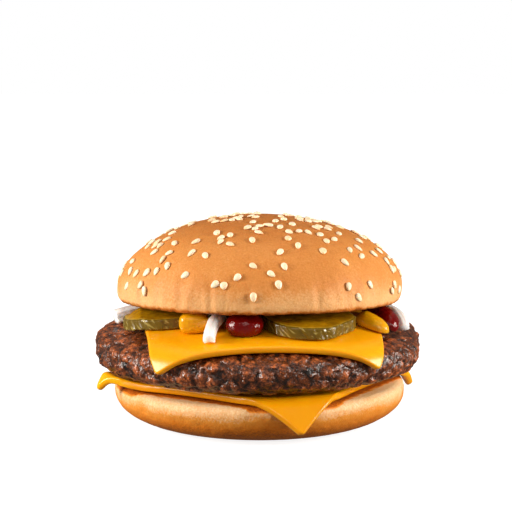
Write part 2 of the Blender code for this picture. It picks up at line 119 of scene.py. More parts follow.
def soft_noise(points: Array, size: float, channel: float = 0.0) -> Array:
    """Smooth noise from -1 to 1.

    A random number stands at each corner of a cubic lattice, and a place takes the mean of its
    eight corners, weighted along each axis by the S curve 3t^2 - 2t^3.

    Args:
        points: Places, one row each.
        size: Side of a lattice cell.
        channel: Number of an independent pattern.

    Returns:
        One number for each place.
    """
    scaled = points / size
    home = np.floor(scaled)
    part = scaled - home
    part = part * part * (3.0 - 2.0 * part)
    total = np.zeros(len(points))
    for corner in np.ndindex(2, 2, 2):
        offset = np.array(corner)
        weight = np.prod(np.where(offset == 1, part, 1.0 - part), axis=1)
        total += weight * lattice_random(home + offset, channel + 5.0)
    return 2.0 * total - 1.0


def layered_noise(points: Array, size: float, layers: int, channel: float = 0.0) -> Array:
    """A sum of smooth noises, each of half the size and half the strength of the one before."""
    return sum(soft_noise(points, size / 2**k, channel + k) / 2**k for k in range(layers))


def noise_vectors(points: Array, size: float, layers: int, channels: Sequence[float]) -> Array:
    """Layered noise along each axis, one channel an axis."""
    return np.stack([layered_noise(points, size, layers, channel) for channel in channels], axis=1)


def unit(rows: Array) -> Array:
    """Rows scaled to a length of 1."""
    return rows / np.linalg.norm(rows, axis=1)[:, None]


def signed_power(values: Array, power: float) -> Array:
    """The values' sizes to a power, with their signs kept."""
    return np.sign(values) * np.abs(values) ** power


def arc(start: tuple[float, float], end: tuple[float, float], roundness: float, steps: int) -> Array:
    """Points (radius, height) of a quarter superellipse that leaves start vertically and reaches end flat.

    Across is cos(t)^(2/n) of the way back to start and along is sin(t)^(2/n) of the way to end.
    """
    angles = np.linspace(0.0, math.pi / 2, steps)
    across = np.cos(angles).clip(0.0) ** (2.0 / roundness)
    along = np.sin(angles) ** (2.0 / roundness)
    return np.stack([end[0] + (start[0] - end[0]) * across, start[1] + (end[1] - start[1]) * along], axis=1)


def outward_offset(profile: Array, distance: float) -> Array:
    """The profile (radius, height), moved outwards square to itself. It runs from the axis outwards and down."""
    slope = unit(np.gradient(profile, axis=0))
    return profile + distance * np.stack([-slope[:, 1], slope[:, 0]], axis=1)


def length_along(line: Array) -> Array:
    """Distance from a line's start to each of its points."""
    return np.concatenate([[0.0], np.cumsum(np.linalg.norm(np.diff(line, axis=0), axis=1))])


def respaced(line: Array, count: int) -> Array:
    """The same line with its points at even distances along it."""
    length = length_along(line)
    wanted = np.linspace(0.0, length[-1], count)
    return np.column_stack([np.interp(wanted, length, axis) for axis in line.T])


def draped(points: Array, profile: Array, steepest: Array) -> Array:
    """A flat sheet's points laid over a turned shape.

    A point keeps its distance from the axis as a length along the profile. Where the profile gets
    steeper than the sheet's own steepest angle at that point, the sheet goes straight on.

    Args:
        points: The flat sheet's points.
        profile: The turned shape's (radius, height) line, from the axis outwards.
        steepest: The steepest angle of the sheet at each point, in radians.

    Returns:
        The points on the shape.
    """
    reach = np.hypot(points[:, 0], points[:, 1])
    steps = np.diff(profile, axis=0)
    length = length_along(profile)
    slope = np.arctan2(-steps[:, 1], steps[:, 0])
    middle = (length[1:] + length[:-1]) / 2
    leaves = np.interp(steepest, np.maximum.accumulate(slope), middle)
    on = np.minimum(reach, leaves)
    beyond = reach - on
    radius = np.interp(on, length, profile[:, 0]) + beyond * np.cos(steepest)
    height = np.interp(on, length, profile[:, 1]) - beyond * np.sin(steepest)
    share = radius / np.maximum(reach, 1e-9)
    return np.column_stack([points[:, 0] * share, points[:, 1] * share, height])


def near(angles: Array, degrees: float, power: float) -> Array:
    """1 at a bearing and falling off to its sides: the cosine of half the difference, to a power."""
    return np.cos((angles - math.radians(degrees)) / 2).clip(0.0) ** power


def polar(points: Array) -> tuple[Array, Array]:
    """The points' distances from the axis and their bearings."""
    return np.hypot(points[:, 0], points[:, 1]), np.arctan2(points[:, 1], points[:, 0])


def bow(share: Array | float, roundness: Array | float) -> Array:
    """A quarter superellipse that falls from 1 at share 0 to 0 at share 1: (1 - s^n)^(1/n)."""
    return (1.0 - share**roundness) ** (1.0 / roundness)


def level_line(start: float, end: float, height: float, count: int) -> Array:
    """Points (radius, height) in even steps along a level line."""
    return np.column_stack([np.linspace(start, end, count), np.full(count, height)])


def whole_turn(sides: int) -> Array:
    """Angles of a whole turn in even steps."""
    return np.linspace(0.0, 2.0 * math.pi, sides, endpoint=False)


# Meshes


def grid_faces(number: Array) -> Array:
    """Four-cornered faces between the neighbours in a grid of vertex numbers."""
    return np.stack([number[:-1, :-1], number[1:, :-1], number[1:, 1:], number[:-1, 1:]], axis=-1).reshape(-1, 4)


def shell_faces(rings: int, sides: int) -> list[Array]:
    """Faces of a closed shell: vertex 0 is its first pole, then come the rings, then its last pole."""
    ring = 1 + np.arange(rings * sides).reshape(rings, sides)
    ahead = np.roll(ring, -1, axis=1)
    first = np.stack([np.zeros(sides, int), ring[0], ahead[0]], axis=-1)
    last = np.stack([np.full(sides, rings * sides + 1), ahead[-1], ring[-1]], axis=-1)
    return [grid_faces(np.column_stack([ring, ring[:, 0]])), first, last]


def shell_points(rings: Array) -> Array:
    """The shell's points: the mean of the first ring, every ring (rings, sides, 3) and the mean of the last."""
    return np.vstack([rings[0].mean(axis=0), rings.reshape(-1, 3), rings[-1].mean(axis=0)])


def turned(profile: Array, sides: int) -> tuple[Array, list[Array]]:
    """A profile of (radius, height) points turned about Z into a closed shell.

    Args:
        profile: The line from near the upper pole to near the lower one.
        sides: Number of points in each ring.

    Returns:
        The shell's points and faces.
    """
    angles = np.linspace(-math.pi, math.pi, sides, endpoint=False)
    circle = np.stack([np.cos(angles), np.sin(angles)], axis=-1)
    rings = np.empty((len(profile), sides, 3))
    rings[..., :2] = profile[:, None, :1] * circle
    rings[..., 2] = profile[:, None, 1]
    return shell_points(rings), shell_faces(len(profile), sides)


def volume_of(points: Array, faces: Sequence[Array]) -> float:
    """The signed volume that the faces enclose, fanned into triangles from each face's first corner."""
    total = 0.0
    for rows in faces:
        for k in range(1, rows.shape[1] - 1):
            a, b, c = points[rows[:, 0]], points[rows[:, k]], points[rows[:, k + 1]]
            total += float(np.einsum("ij,ij->i", a, np.cross(b, c)).sum()) / 6.0
    return total


def add_object(name: str, data: bpy.types.ID) -> bpy.types.Object:
    """A new object at the origin that holds the data, linked to the scene."""
    made = bpy.data.objects.new(name, data)
    bpy.context.scene.collection.objects.link(made)
    return made


def write_mesh(name: str, points: Array, faces: Sequence[Array], marks: Mapping[str, Array]) -> bpy.types.Object:
    """An object at the origin whose mesh holds the given arrays.

    Args:
        name: Name of the object and of its mesh.
        points: Vertex places.
        faces: Arrays of vertex numbers, one row a face. They are turned round if they enclose a negative volume.
        marks: Arrays of one number a vertex, which the finishes read by name.

    Returns:
        The object, shaded smooth and linked to the scene.
    """
    if volume_of(points, faces) < 0.0:
        faces = [rows[:, ::-1] for rows in faces]
    mesh = bpy.data.meshes.new(name)
    mesh.vertices.add(len(points))
    mesh.vertices.foreach_set("co", points.astype(np.float32).ravel())
    corners = np.concatenate([rows.ravel() for rows in faces])
    sizes = np.concatenate([np.full(len(rows), rows.shape[1]) for rows in faces])
    mesh.loops.add(len(corners))
    mesh.loops.foreach_set("vertex_index", corners.astype(np.int32))
    mesh.polygons.add(len(sizes))
    mesh.polygons.foreach_set("loop_start", (np.cumsum(sizes) - sizes).astype(np.int32))
    mesh.update(calc_edges=True)
    mesh.shade_smooth()
    for key, values in marks.items():
        mesh.attributes.new(key, "FLOAT", "POINT").data.foreach_set("value", values.astype(np.float32))
    return add_object(name, mesh)


def serve(made: bpy.types.Object, finish: bpy.types.Material, node: str) -> None:
    """Dresses a finished piece, lets it ride on the burger and says which solid it stands for."""
    made.data.materials.append(finish)
    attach(made, "root")
    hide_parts(node)
    LOG.info("%s: %d faces for %s", made.name, len(made.data.polygons), node)


# Materials


class Graph:
    """The node tree of one material, wired by short calls."""

    def __init__(self, name: str) -> None:
        """Starts a Principled material of this name."""
        self.material = bpy.data.materials.new(name)
        self.material.use_nodes = True
        self.tree = self.material.node_tree
        self.shader = self.tree.nodes["Principled BSDF"]

    def feed(self, socket: Socket, value: Socket | float | Sequence[float]) -> None:
        """Links an output to the socket, or sets the socket's own number."""
        if isinstance(value, bpy.types.NodeSocket):
            self.tree.links.new(value, socket)
        else:
            socket.default_value = value

    def node(
        self, kind: str, inputs: Mapping[str | int, object], output: str | int = 0, **settings: object,
    ) -> Socket:
        """Adds a node.

        Args:
            kind: The node's type.
            inputs: Values or outputs for its inputs, by name or number.
            output: The output wanted.
            **settings: The node's own settings.

        Returns:
            That output.
        """
        made = self.tree.nodes.new(kind)
        for key, value in settings.items():
            setattr(made, key, value)
        for key, value in inputs.items():
            self.feed(made.inputs[key], value)
        return made.outputs[output]

    def place(self) -> Socket:
        """Object coordinates, which are the burger's own frame in metres."""
        return self.node("ShaderNodeTexCoord", {}, "Object")

    def mark(self, name: str) -> Socket:
        """A number that the mesh holds for each vertex."""
        return self.node("ShaderNodeAttribute", {}, "Fac", attribute_name=name)

    def noise(self, size: float, detail: float = 3.0, roughness: float = 0.55, distortion: float = 0.0) -> Socket:
        """Fractal noise from 0 to 1 whose largest grain has this size in metres."""
        inputs = {"Vector": self.place(), "Scale": 1.0 / size, "Detail": detail, "Roughness": roughness}
        return self.node("ShaderNodeTexNoise", {**inputs, "Distortion": distortion}, "Fac")

    def ramp(self, value: Socket, stops: Sequence[tuple[float, Colour]]) -> Socket:
        """A colour for each value, blended between the stops (place, colour)."""
        made = self.tree.nodes.new("ShaderNodeValToRGB")
        bar = made.color_ramp
        for _ in stops[2:]:
            bar.elements.new(0.5)
        for element, (at, colour) in zip(bar.elements, stops):
            element.position = at
            element.color = (*colour, 1.0)
        self.tree.links.new(value, made.inputs["Fac"])
        return made.outputs["Color"]

    def span(self, value: Socket, start: float, end: float, low: float = 0.0, high: float = 1.0) -> Socket:
        """The value taken from start..end to low..high and held there outside."""
        inputs = {"Value": value, "From Min": start, "From Max": end, "To Min": low, "To Max": high}
        return self.node("ShaderNodeMapRange", inputs)

    def sum(self, *terms: tuple[Socket, float]) -> Socket:
        """Weighted terms added up."""
        total = None
        for value, weight in terms:
            inputs = {0: value, 1: weight, 2: total if total is not None else 0.0}
            total = self.node("ShaderNodeMath", inputs, operation="MULTIPLY_ADD")
        return total

    def blend(self, base: Socket | Colour, other: Socket | Colour, share: Socket) -> Socket:
        """Base where the share is 0 and other where it is 1."""
        ends = [end if isinstance(end, bpy.types.NodeSocket) else (*end, 1.0) for end in (base, other)]
        return self.node("ShaderNodeMix", {0: share, 6: ends[0], 7: ends[1]}, 2, data_type="RGBA")

    def bump(self, height: Socket, depth: float, strength: float = 1.0, over: Socket | None = None) -> Socket:
        """A surface normal tilted by a height from 0 to 1 that stands for this depth in metres."""
        inputs = {"Height": height, "Distance": depth, "Strength": strength}
        if over is not None:
            inputs["Normal"] = over
        return self.node("ShaderNodeBump", inputs)

    def finish(self, *glow: object, **inputs: object) -> bpy.types.Material:
        """Feeds the shader.

        Args:
            *glow: Weight, radius and scale of the light scattered under the surface, or nothing.
            **inputs: The shader's other inputs, with _ for a space.

        Returns:
            The finished material.
        """
        for key, value in zip(("Weight", "Radius", "Scale"), glow):
            self.feed(self.shader.inputs["Subsurface " + key], value)
        for key, value in inputs.items():
            self.feed(self.shader.inputs[key.replace("_", " ")], value)
        return self.material


@dataclass(frozen=True)
class CrustFinish:
    """Baked crust, from pale crumb to toasted brown by its browning mark, which on the crown also holds painted shade
    at the front.
    """

    name: str
    pale: Colour
    golden: Colour
    brown: Colour
    toasted: Colour
    grain: float = 0.7 * MM
    roughness: float = 0.52

    def build(self) -> bpy.types.Material:
        """The crust, with mottling in its colour and pores in its skin."""
        g = Graph(self.name)
        mottle = g.noise(9.0 * MM, 4.0)
        fine = g.noise(self.grain, 3.0, 0.65)
        share = g.sum((g.mark("browning"), 1.0), (mottle, 0.24), (fine, 0.60))
        share = g.node("ShaderNodeMath", {0: share, 1: 0.41}, operation="SUBTRACT")
        stops = [(0.0, self.pale), (0.36, self.golden), (0.72, self.brown), (1.0, self.toasted)]
        colour = g.ramp(share, stops)
        skin = g.bump(g.sum((fine, 0.8), (g.noise(2.4 * MM, 2.0), 0.9)), 0.26 * MM, 0.9)
        return g.finish(
            0.12, (1.0, 0.4, 0.15), 1.5 * MM,
            Base_Color=colour, Roughness=self.roughness, Normal=skin, Specular_IOR_Level=0.2,
        )


@dataclass(frozen=True)
class SeedFinish:
    """Hulled sesame: pale cream, a little toasted at the tip and from seed to seed by the mark named toast."""

    cream: Colour = (0.97, 0.81, 0.60)
    toasted: Colour = (0.84, 0.52, 0.22)

    def build(self) -> bpy.types.Material:
        """The seeds' hulls."""
        g = Graph("sesame_hull")
        share = g.sum((g.mark("toast"), 1.0), (g.noise(0.8 * MM), 0.3))
        colour = g.blend(self.cream, self.toasted, share)
        skin = g.bump(g.noise(0.5 * MM), 0.05 * MM)
        return g.finish(
            0.25, (1.0, 0.6, 0.3), 1.0 * MM,
            Base_Color=colour, Roughness=0.42, Normal=skin, Specular_IOR_Level=0.45,
        )


@dataclass(frozen=True)
class CheeseFinish:
    """Warm processed cheese: saturated yellow-orange, lit a little from within, with a soft sheen.

    The mark named flap says where a brighter colour is painted on a flap that stands away from the burger, as painted
    light coming through it.
    """

    name: str
    body: Colour = (0.92, 0.385, 0.001)
    deep: Colour = (0.84, 0.31, 0.001)
    bright: Colour = (1.0, 0.43, 0.002)
    roughness: float = 0.30

    def build(self) -> bpy.types.Material:
        """The cheese."""
        g = Graph(self.name)
        share = g.sum((g.noise(14.0 * MM, 3.0), 0.9), (g.mark("edge"), 0.12))
        colour = g.blend(self.body, self.deep, g.span(share, 0.35, 1.0))
        # Painted light: the flaps are brighter, as if lit through.
        colour = g.blend(colour, self.bright, g.mark("flap"))
        skin = g.bump(g.noise(5.0 * MM, 2.0), 0.12 * MM, 0.6)
        skin = g.bump(g.noise(0.7 * MM, 2.0), 0.015 * MM, 0.6, skin)
        return g.finish(
            0.3, (1.0, 0.42, 0.04), 2.4 * MM,
            Base_Color=colour, Roughness=self.roughness, Normal=skin, Specular_IOR_Level=0.35,
        )


@dataclass(frozen=True)
class BeefFinish:
    """Seared mince: crevices painted near-black as shade, brown lumps with redder crumbs, charred patches, wet with
    fat.
    """

    crevice: Colour = (0.010, 0.003, 0.0015)
    lean: Colour = (0.125, 0.029, 0.007)
    crumb: Colour = (0.54, 0.136, 0.034)
    char: Colour = (0.008, 0.004, 0.003)

    def build(self) -> bpy.types.Material:
        """The beef."""
        g = Graph("seared_beef")
        fine = g.noise(1.0 * MM, 5.0, 0.75, distortion=0.8)
        broad = g.noise(11.0 * MM, 3.0)
        height = g.sum((g.mark("height"), 0.40), (fine, 1.5), (broad, 0.35))
        # Painted shade: the lower the relief, the darker, down to near-black in the crevices.
        colour = g.ramp(g.span(height, 0.78, 1.38), [(0.0, self.crevice), (0.5, self.lean), (1.0, self.crumb)])
        scorch = g.span(g.noise(5.5 * MM, 5.0, 0.65, distortion=0.6), 0.56, 0.64)
        colour = g.blend(colour, self.char, scorch)
        wet = g.span(g.noise(2.2 * MM, 3.0), 0.35, 0.65, 0.26, 0.50)
        rough = g.bump(g.noise(1.15 * MM, 1.5, 0.5, distortion=1.0), 0.42 * MM, 0.9)
        skin = g.bump(g.noise(0.6 * MM, 2.0, 0.6), 0.12 * MM, 0.9, rough)
        return g.finish(
            0.05, (1.0, 0.3, 0.2), 0.8 * MM,
            Base_Color=colour, Roughness=wet, Normal=skin, Specular_IOR_Level=0.22,
            Coat_Weight=0.55, Coat_Roughness=0.08, Coat_Normal=skin,
        )


@dataclass(frozen=True)
class PickleFinish:
    """Brined gherkin: olive flesh with a paler rim, and a darker, streaked skin round the edge.

    The marks named rim, skin and streak say where each of them is.
    """

    flesh: Colour = (0.50, 0.245, 0.003)
    vein: Colour = (0.30, 0.140, 0.002)
    rim: Colour = (0.58, 0.38, 0.04)
    peel: Colour = (0.135, 0.080, 0.005)
    streak: Colour = (0.40, 0.30, 0.075)

    def build(self) -> bpy.types.Material:
        """The gherkin."""
        g = Graph("brined_gherkin")
        flesh = g.blend(self.flesh, self.vein, g.span(g.noise(4.0 * MM, 4.0), 0.38, 0.66))
        flesh = g.blend(flesh, self.rim, g.mark("rim"))
        peel = g.blend(self.peel, self.streak, g.mark("streak"))
        colour = g.blend(flesh, peel, g.mark("skin"))
        skin = g.bump(g.noise(1.4 * MM, 3.0), 0.12 * MM, 0.7)
        return g.finish(
            0.2, (1.0, 0.8, 0.1), 1.6 * MM,
            Base_Color=colour, Roughness=0.22, Normal=skin, Specular_IOR_Level=0.5,
        )


@dataclass(frozen=True)
class SauceFinish:
    """A thick glossy sauce of one colour with a deeper tone in its folds."""

    name: str
    colour: Colour
    deep: Colour
    roughness: float
    glow: float
    shine: float = 0.5

    def build(self) -> bpy.types.Material:
        """The sauce."""
        g = Graph(self.name)
        colour = g.blend(self.colour, self.deep, g.noise(3.0 * MM, 3.0))
        skin = g.bump(g.noise(2.0 * MM, 3.0, distortion=0.8), 0.34 * MM, 0.9)
        return g.finish(
            self.glow, (1.0, 0.35, 0.05), 1.5 * MM,
            Base_Color=colour, Roughness=self.roughness, Normal=skin, Specular_IOR_Level=self.shine,
        )


@dataclass(frozen=True)
class OnionFinish:
    """Raw onion: milky white that lets light through, with faint lines along its layers by the mark named line."""

    flesh: Colour = (0.96, 0.94, 0.92)
    line: Colour = (0.88, 0.81, 0.79)

    def build(self) -> bpy.types.Material:
        """The onion."""
        g = Graph("raw_onion")
        share = g.sum((g.mark("line"), 0.7), (g.noise(2.0 * MM, 3.0), 0.35))
        colour = g.blend(self.flesh, self.line, share)
        skin = g.bump(g.noise(1.1 * MM), 0.1 * MM)
        return g.finish(
            0.55, (1.0, 0.85, 0.75), 2.5 * MM,
            Base_Color=colour, Roughness=0.25, Normal=skin, Specular_IOR_Level=0.5,
        )


# Shapes of the layers


@dataclass(frozen=True)
class PattyForm:
    """The patty's even outline, on which the layers above are laid."""

    radius: float = 62.0 * MM
    bottom: float = 19.23 * MM
    widest_height: float = 28.0 * MM
    top: float = 38.2 * MM
    flat_radius: float = 46.0 * MM
    front_roundness: float = 2.55
    back_roundness: float = 3.8
    lower_roundness: float = 2.8

    def profile(self, roundness: float, steps: int = 90) -> Array:
        """The upper half, from the axis out to the widest ring."""
        return arc((self.radius, self.widest_height), (0.0, self.top), roundness, steps)[::-1]

    def wobble(self, angles: Array) -> Array:
        """How far the outline strays from a circle, as a share of its radius: five cosines round it."""
        return (
            0.005 * np.cos(5 * angles + 2.1)
            + 0.004 * np.cos(8 * angles + 4.0)
            + 0.0035 * np.cos(2 * angles)
            - 0.004 * np.cos(angles)
            - 0.003 * np.cos(3 * angles)
        )

    def wobbled(self, points: Array) -> Array:
        """Points near the patty moved outwards or inwards with its outline."""
        radius, angles = polar(points)
        factor = 1.0 + self.wobble(angles) * smooth(radius, 0.0, self.radius)
        return points * np.stack([factor, factor, np.ones(len(points))], axis=1)

    @staticmethod
    def back_share(x: Array, y: Array) -> Array:
        """0 towards the front, where the patty slopes, and 1 at the sides and the back, where it is squarer."""
        return smooth(np.arctan2(np.abs(x), -y), math.radians(50.0), math.radians(95.0))

    def upper_surface(self, x: Array, y: Array) -> Array:
        """Height of the upper surface: a superellipse over the widest ring, squarer towards the back."""
        radius = np.hypot(x, y)
        factor = 1.0 + self.wobble(np.arctan2(y, x)) * smooth(radius, 0.0, self.radius)
        share = np.clip(radius / factor / self.radius, 0.0, 1.0)
        roundness = self.front_roundness + (self.back_roundness - self.front_roundness) * self.back_share(x, y)
        return self.widest_height + (self.top - self.widest_height) * bow(share, roundness)

    def underside(self, radius: Array) -> Array:
        """Height of the lower surface."""
        share = ((radius - self.flat_radius) / (self.radius - self.flat_radius)).clip(0.0, 1.0)
        return self.widest_height - (self.widest_height - self.bottom) * bow(share, self.lower_roundness)


@dataclass(frozen=True)
class SliceForm:
    """A square cheese slice: its size, where it lies and how far it is turned."""

    shift: tuple[float, float]
    turn: float
    pinch: float = 0.0
    side: float = 86.5 * MM
    thickness: float = 2.8 * MM
    corner: float = 2.2 * MM

    def outside(self, x: Array, y: Array) -> Array:
        """Distance outside the flat outline, and 0 on it."""
        dx, dy = x - self.shift[0], y - self.shift[1]
        across = np.abs(math.cos(self.turn) * dx + math.sin(self.turn) * dy) - self.side / 2
        along = np.abs(math.cos(self.turn) * dy - math.sin(self.turn) * dx) - self.side / 2
        return np.hypot(across.clip(0.0), along.clip(0.0))

    def flat(self, a: Array, b: Array) -> Array:
        """The flat slice's points for places a and b across and along it, from minus to plus half its side.

        Beyond the corners' inner square the two distances past it are scaled, so that their hypotenuse
        becomes the larger of them, which rounds the corners.
        """
        flat = np.stack([a, b], axis=1)
        inner = self.side / 2 - self.corner
        past = np.maximum(np.abs(flat) - inner, 0.0)
        over = np.linalg.norm(past, axis=1)
        cornered = (past[:, 0] > 0) & (past[:, 1] > 0)
        pull = np.where(cornered, past.max(axis=1) / np.maximum(over, 1e-9), 1.0)[:, None]
        flat = np.sign(flat) * (np.minimum(np.abs(flat), inner) + past * pull)
        flat[:, 0] *= 1.0 - self.pinch * smooth(-flat[:, 1], -0.1 * self.side, self.side / 2)
        across = flat[:, 0] * math.cos(self.turn) - flat[:, 1] * math.sin(self.turn) + self.shift[0]
        along = flat[:, 0] * math.sin(self.turn) + flat[:, 1] * math.cos(self.turn) + self.shift[1]
        return np.column_stack([across, along, np.zeros(len(flat))])


@dataclass(frozen=True)
class CrownForm:
    """The crown's dome over a short rounded skirt, leaning back on the toppings."""

    radius: float = 53.6 * MM
    dome: float = 27.1 * MM
    skirt: float = 5.3 * MM
    cut_radius: float = 50.6 * MM
    widest_height: float = 50.3 * MM
    lean: float = math.radians(-2.9)
    dome_roundness: float = 1.97
    skirt_roundness: float = 3.4

    def underside(self, y: Array) -> Array:
        """Height of the cut face."""
        return self.widest_height - self.skirt / math.cos(self.lean) + y * math.tan(self.lean)

    def unevenness(self, points: Array) -> Array:
        """How far the crust swells or sinks, by slow waves round and over the dome."""
        radius, angles = polar(points)
        edge = smooth(radius, 15.0 * MM, 50.0 * MM)
        waves = 0.35 * np.cos(3 * angles + 1.0) + 0.25 * np.cos(7 * angles + 0.3)
        return waves * MM * edge * smooth(points[:, 2], -self.skirt, 4.0 * MM)

    def normals(self, points: Array) -> Array:
        """Directions square to the dome at points on it, as on an ellipsoid."""
        return unit(points * np.array([1.0, 1.0, (self.radius / self.dome) ** 2]))

    def placed(self, points: Array) -> Array:
        """Points of the level crown leaned back and lifted to their height."""
        turn = np.array(Matrix.Rotation(self.lean, 3, "X"))
        return points @ turn.T + np.array([0.0, 0.0, self.widest_height])


PATTY = PattyForm()
LOWER_SLICE = SliceForm((0.7 * MM, -5.8 * MM), math.radians(59.5))
UPPER_SLICE = SliceForm((0.2 * MM, -12.5 * MM), math.radians(4.3), 0.03)
CROWN = CrownForm()


def deck(x: Array, y: Array) -> Array:
    """Height that the toppings lie at: on the upper slice, or on the patty where the slice ends."""
    layer = (UPPER_SLICE.thickness + GAP) * (1.0 + 0.16 * smooth(np.hypot(x, y), 38.0 * MM, 56.0 * MM))
    past = ((UPPER_SLICE.outside(x, y) - 1.0 * MM) / (8.0 * MM)).clip(0.0, 1.0)
    return PATTY.upper_surface(x, y) + 1.5 * GAP + layer * (1.0 - past)


def between_deck_and_crown(points: Array) -> Array:
    """Points of a topping pressed up to the deck below it and down from the crown above it."""
    low = deck(points[:, 0], points[:, 1])
    high = np.maximum(CROWN.underside(points[:, 1]) - GAP, low + 0.6 * MM)
    return np.column_stack([points[:, :2], np.clip(points[:, 2], low, high)])


# Pieces


@dataclass
class Heel:
    """The bottom half of the bun: widest just under its cut face, rounded down to a flat foot.

    Swell and pore each hold a size and a depth.
    """

    radius: float = 55.1 * MM
    cut_radius: float = 51.8 * MM
    foot_radius: float = 35.0 * MM
    widest_height: float = 12.6 * MM
    height: float = 15.2 * MM
    roundness: float = 2.15
    swell: tuple[float, float] = (3.2 * MM, 0.12 * MM)
    pore: tuple[float, float] = (1.9 * MM, 0.16 * MM)
    foot_browning: float = 0.82
    rim_browning: float = 0.08
    toasting: float = 0.90
    sides: int = 420

    def arcs(self, rim_steps: int, side_steps: int) -> tuple[Array, Array]:
        """The rim, from the cut face to the widest ring, and the side, from there to the foot."""
        widest = (self.radius, self.widest_height)
        rim = arc(widest, (self.cut_radius, self.height), 2.0, rim_steps)[::-1]
        return rim, arc(widest, (self.foot_radius, 0.0), self.roundness, side_steps)

    def support(self) -> Array:
        """The line that the lower slice lies on: flat, over the rim and down the side, rounded."""
        rim, side = self.arcs(4, 6)
        line = np.vstack([[(0.0, self.height)], rim, side[1:4]])
        return np.array([np.interp(np.linspace(0, 7, 71), range(8), axis) for axis in line.T]).T

    def profile(self) -> Array:
        """The whole section, from the middle of the cut face to the middle of the foot."""
        rim, side = self.arcs(24, 90)
        cut = level_line(1.0 * MM, self.cut_radius, self.height, 40)
        foot = level_line(self.foot_radius, 1.0 * MM, 0.0, 26)
        return np.vstack([cut[:-1], respaced(np.vstack([rim, side[1:]]), 84), foot[1:]])

    def build(self) -> None:
        """Makes the crust, with slow swells and shallow pores, and browns it towards the foot."""
        points, faces = turned(self.profile(), self.sides)
        radius, angles = polar(points)
        height = points[:, 2].copy()
        lift = smooth(height, 1.0 * MM, 6.0 * MM) * (1.0 - smooth(height, 8.0 * MM, 12.0 * MM))
        factor = 1.0 + lift * (0.004 * np.cos(2 * angles + 0.4) + 0.003 * np.cos(5 * angles + 1.0))
        points[:, :2] *= factor[:, None]
        outer = smooth(radius, 34.0 * MM, 42.0 * MM) * smooth(height, 0.2 * MM, 2.0 * MM)
        pores = smooth(soft_noise(points, self.pore[0], 8.0), 0.35, 0.8)
        dents = self.swell[1] * layered_noise(points, self.swell[0], 3) - self.pore[1] * pores
        outwards = points / np.maximum(np.linalg.norm(points, axis=1), 1e-6)[:, None]
        points += outwards * (dents * outer)[:, None]
        ragged = 1.5 * MM * soft_noise(points, 9.0 * MM, 3.0) + 0.7 * MM * soft_noise(points, 2.6 * MM, 4.0)
        level = height + ragged
        paler = self.foot_browning - self.rim_browning
        browning = self.foot_browning - paler * smooth(level, 3.0 * MM, 15.0 * MM)
        # A dark line painted on the heel's top just outside the lower slice's edge.
        jagged = LOWER_SLICE.outside(points[:, 0], points[:, 1]) + 0.6 * MM * soft_noise(points, 1.6 * MM, 5.0)
        high = smooth(height, self.height - 2.2 * MM, self.height - 0.8 * MM)
        browning = np.maximum(browning, self.toasting * (1.0 - smooth(jagged, 0.5 * MM, 1.6 * MM)) * high)
        made = write_mesh("heel_crust", points, faces, {"browning": browning})
        finish = CrustFinish(
            "baked_heel", (0.88, 0.61, 0.34), (0.74, 0.27, 0.035), (0.70, 0.185, 0.008), (0.28, 0.058, 0.003),
        )
        serve(made, finish.build(), "bun_heel")


@dataclass
class CheeseSlice:
    """A melted slice: a grid over the flat square, draped, with a rounded edge round its thickness."""

    name: str
    node: str
    form: SliceForm
    lay: Callable[[Array], Array]
    cells: int = 128
    edge_radius: float = 1.1 * MM
    edge_roundness: float = 2.6
    edge_steps: int = 7

    def lines(self) -> Array:
        """Places of the grid lines: even over the slice and closer over its rounded edge."""
        half = self.form.side / 2
        inner = np.linspace(-half + self.edge_radius, half - self.edge_radius, self.cells)
        turns = np.linspace(0.0, math.pi / 2, self.edge_steps + 1)[1:]
        edge = half - self.edge_radius * (1.0 - np.sin(turns))
        return np.concatenate([-edge[::-1], inner, edge])

    def build(self, finish: bpy.types.Material) -> None:
        """Makes the slice: its middle sheet, and half the thickness to either side, falling to 0 at the outline.

        At a distance d inside the outline the half thickness is (1 - (1 - d/r)^n)^(1/n) of its full value.
        """
        lines = self.lines()
        count = len(lines)
        a, b = (grid.ravel() for grid in np.meshgrid(lines, lines, indexing="ij"))
        inside = self.form.side / 2 - np.maximum(np.abs(a), np.abs(b))
        share = (1.0 - inside / self.edge_radius).clip(0.0, 1.0)
        half = self.form.thickness / 2 * bow(share, self.edge_roundness)
        middle = self.lay(self.form.flat(a, b))
        sheet = middle.reshape(count, count, 3)
        normal = unit(np.cross(np.gradient(sheet, axis=0), np.gradient(sheet, axis=1)).reshape(-1, 3))
        ripple = 1.0 + 0.05 * layered_noise(middle, 9.0 * MM, 2, 6.0)
        upper = middle + normal * (half * ripple)[:, None]
        lower = middle - normal * half[:, None]
        number = np.arange(count * count).reshape(count, count)
        rim = np.zeros((count, count), bool)
        rim[[0, -1]] = rim[:, [0, -1]] = True
        under = np.where(rim, number, 0)
        under[~rim] = count * count + np.arange((~rim).sum())
        faces = [grid_faces(number), grid_faces(under.T)]
        points = np.vstack([upper, lower[~rim.ravel()]])
        edge = 1.0 - smooth(np.concatenate([inside, inside[~rim.ravel()]]), 0.0, 2.5 * MM)
        # Where the brighter colour of painted light through the flaps goes.
        flap = smooth(np.hypot(points[:, 0], 0.6 * points[:, 1]), 48.0 * MM, 57.0 * MM)
        made = write_mesh(self.name, points, faces, {"edge": edge, "flap": flap})
        serve(made, finish, self.node)


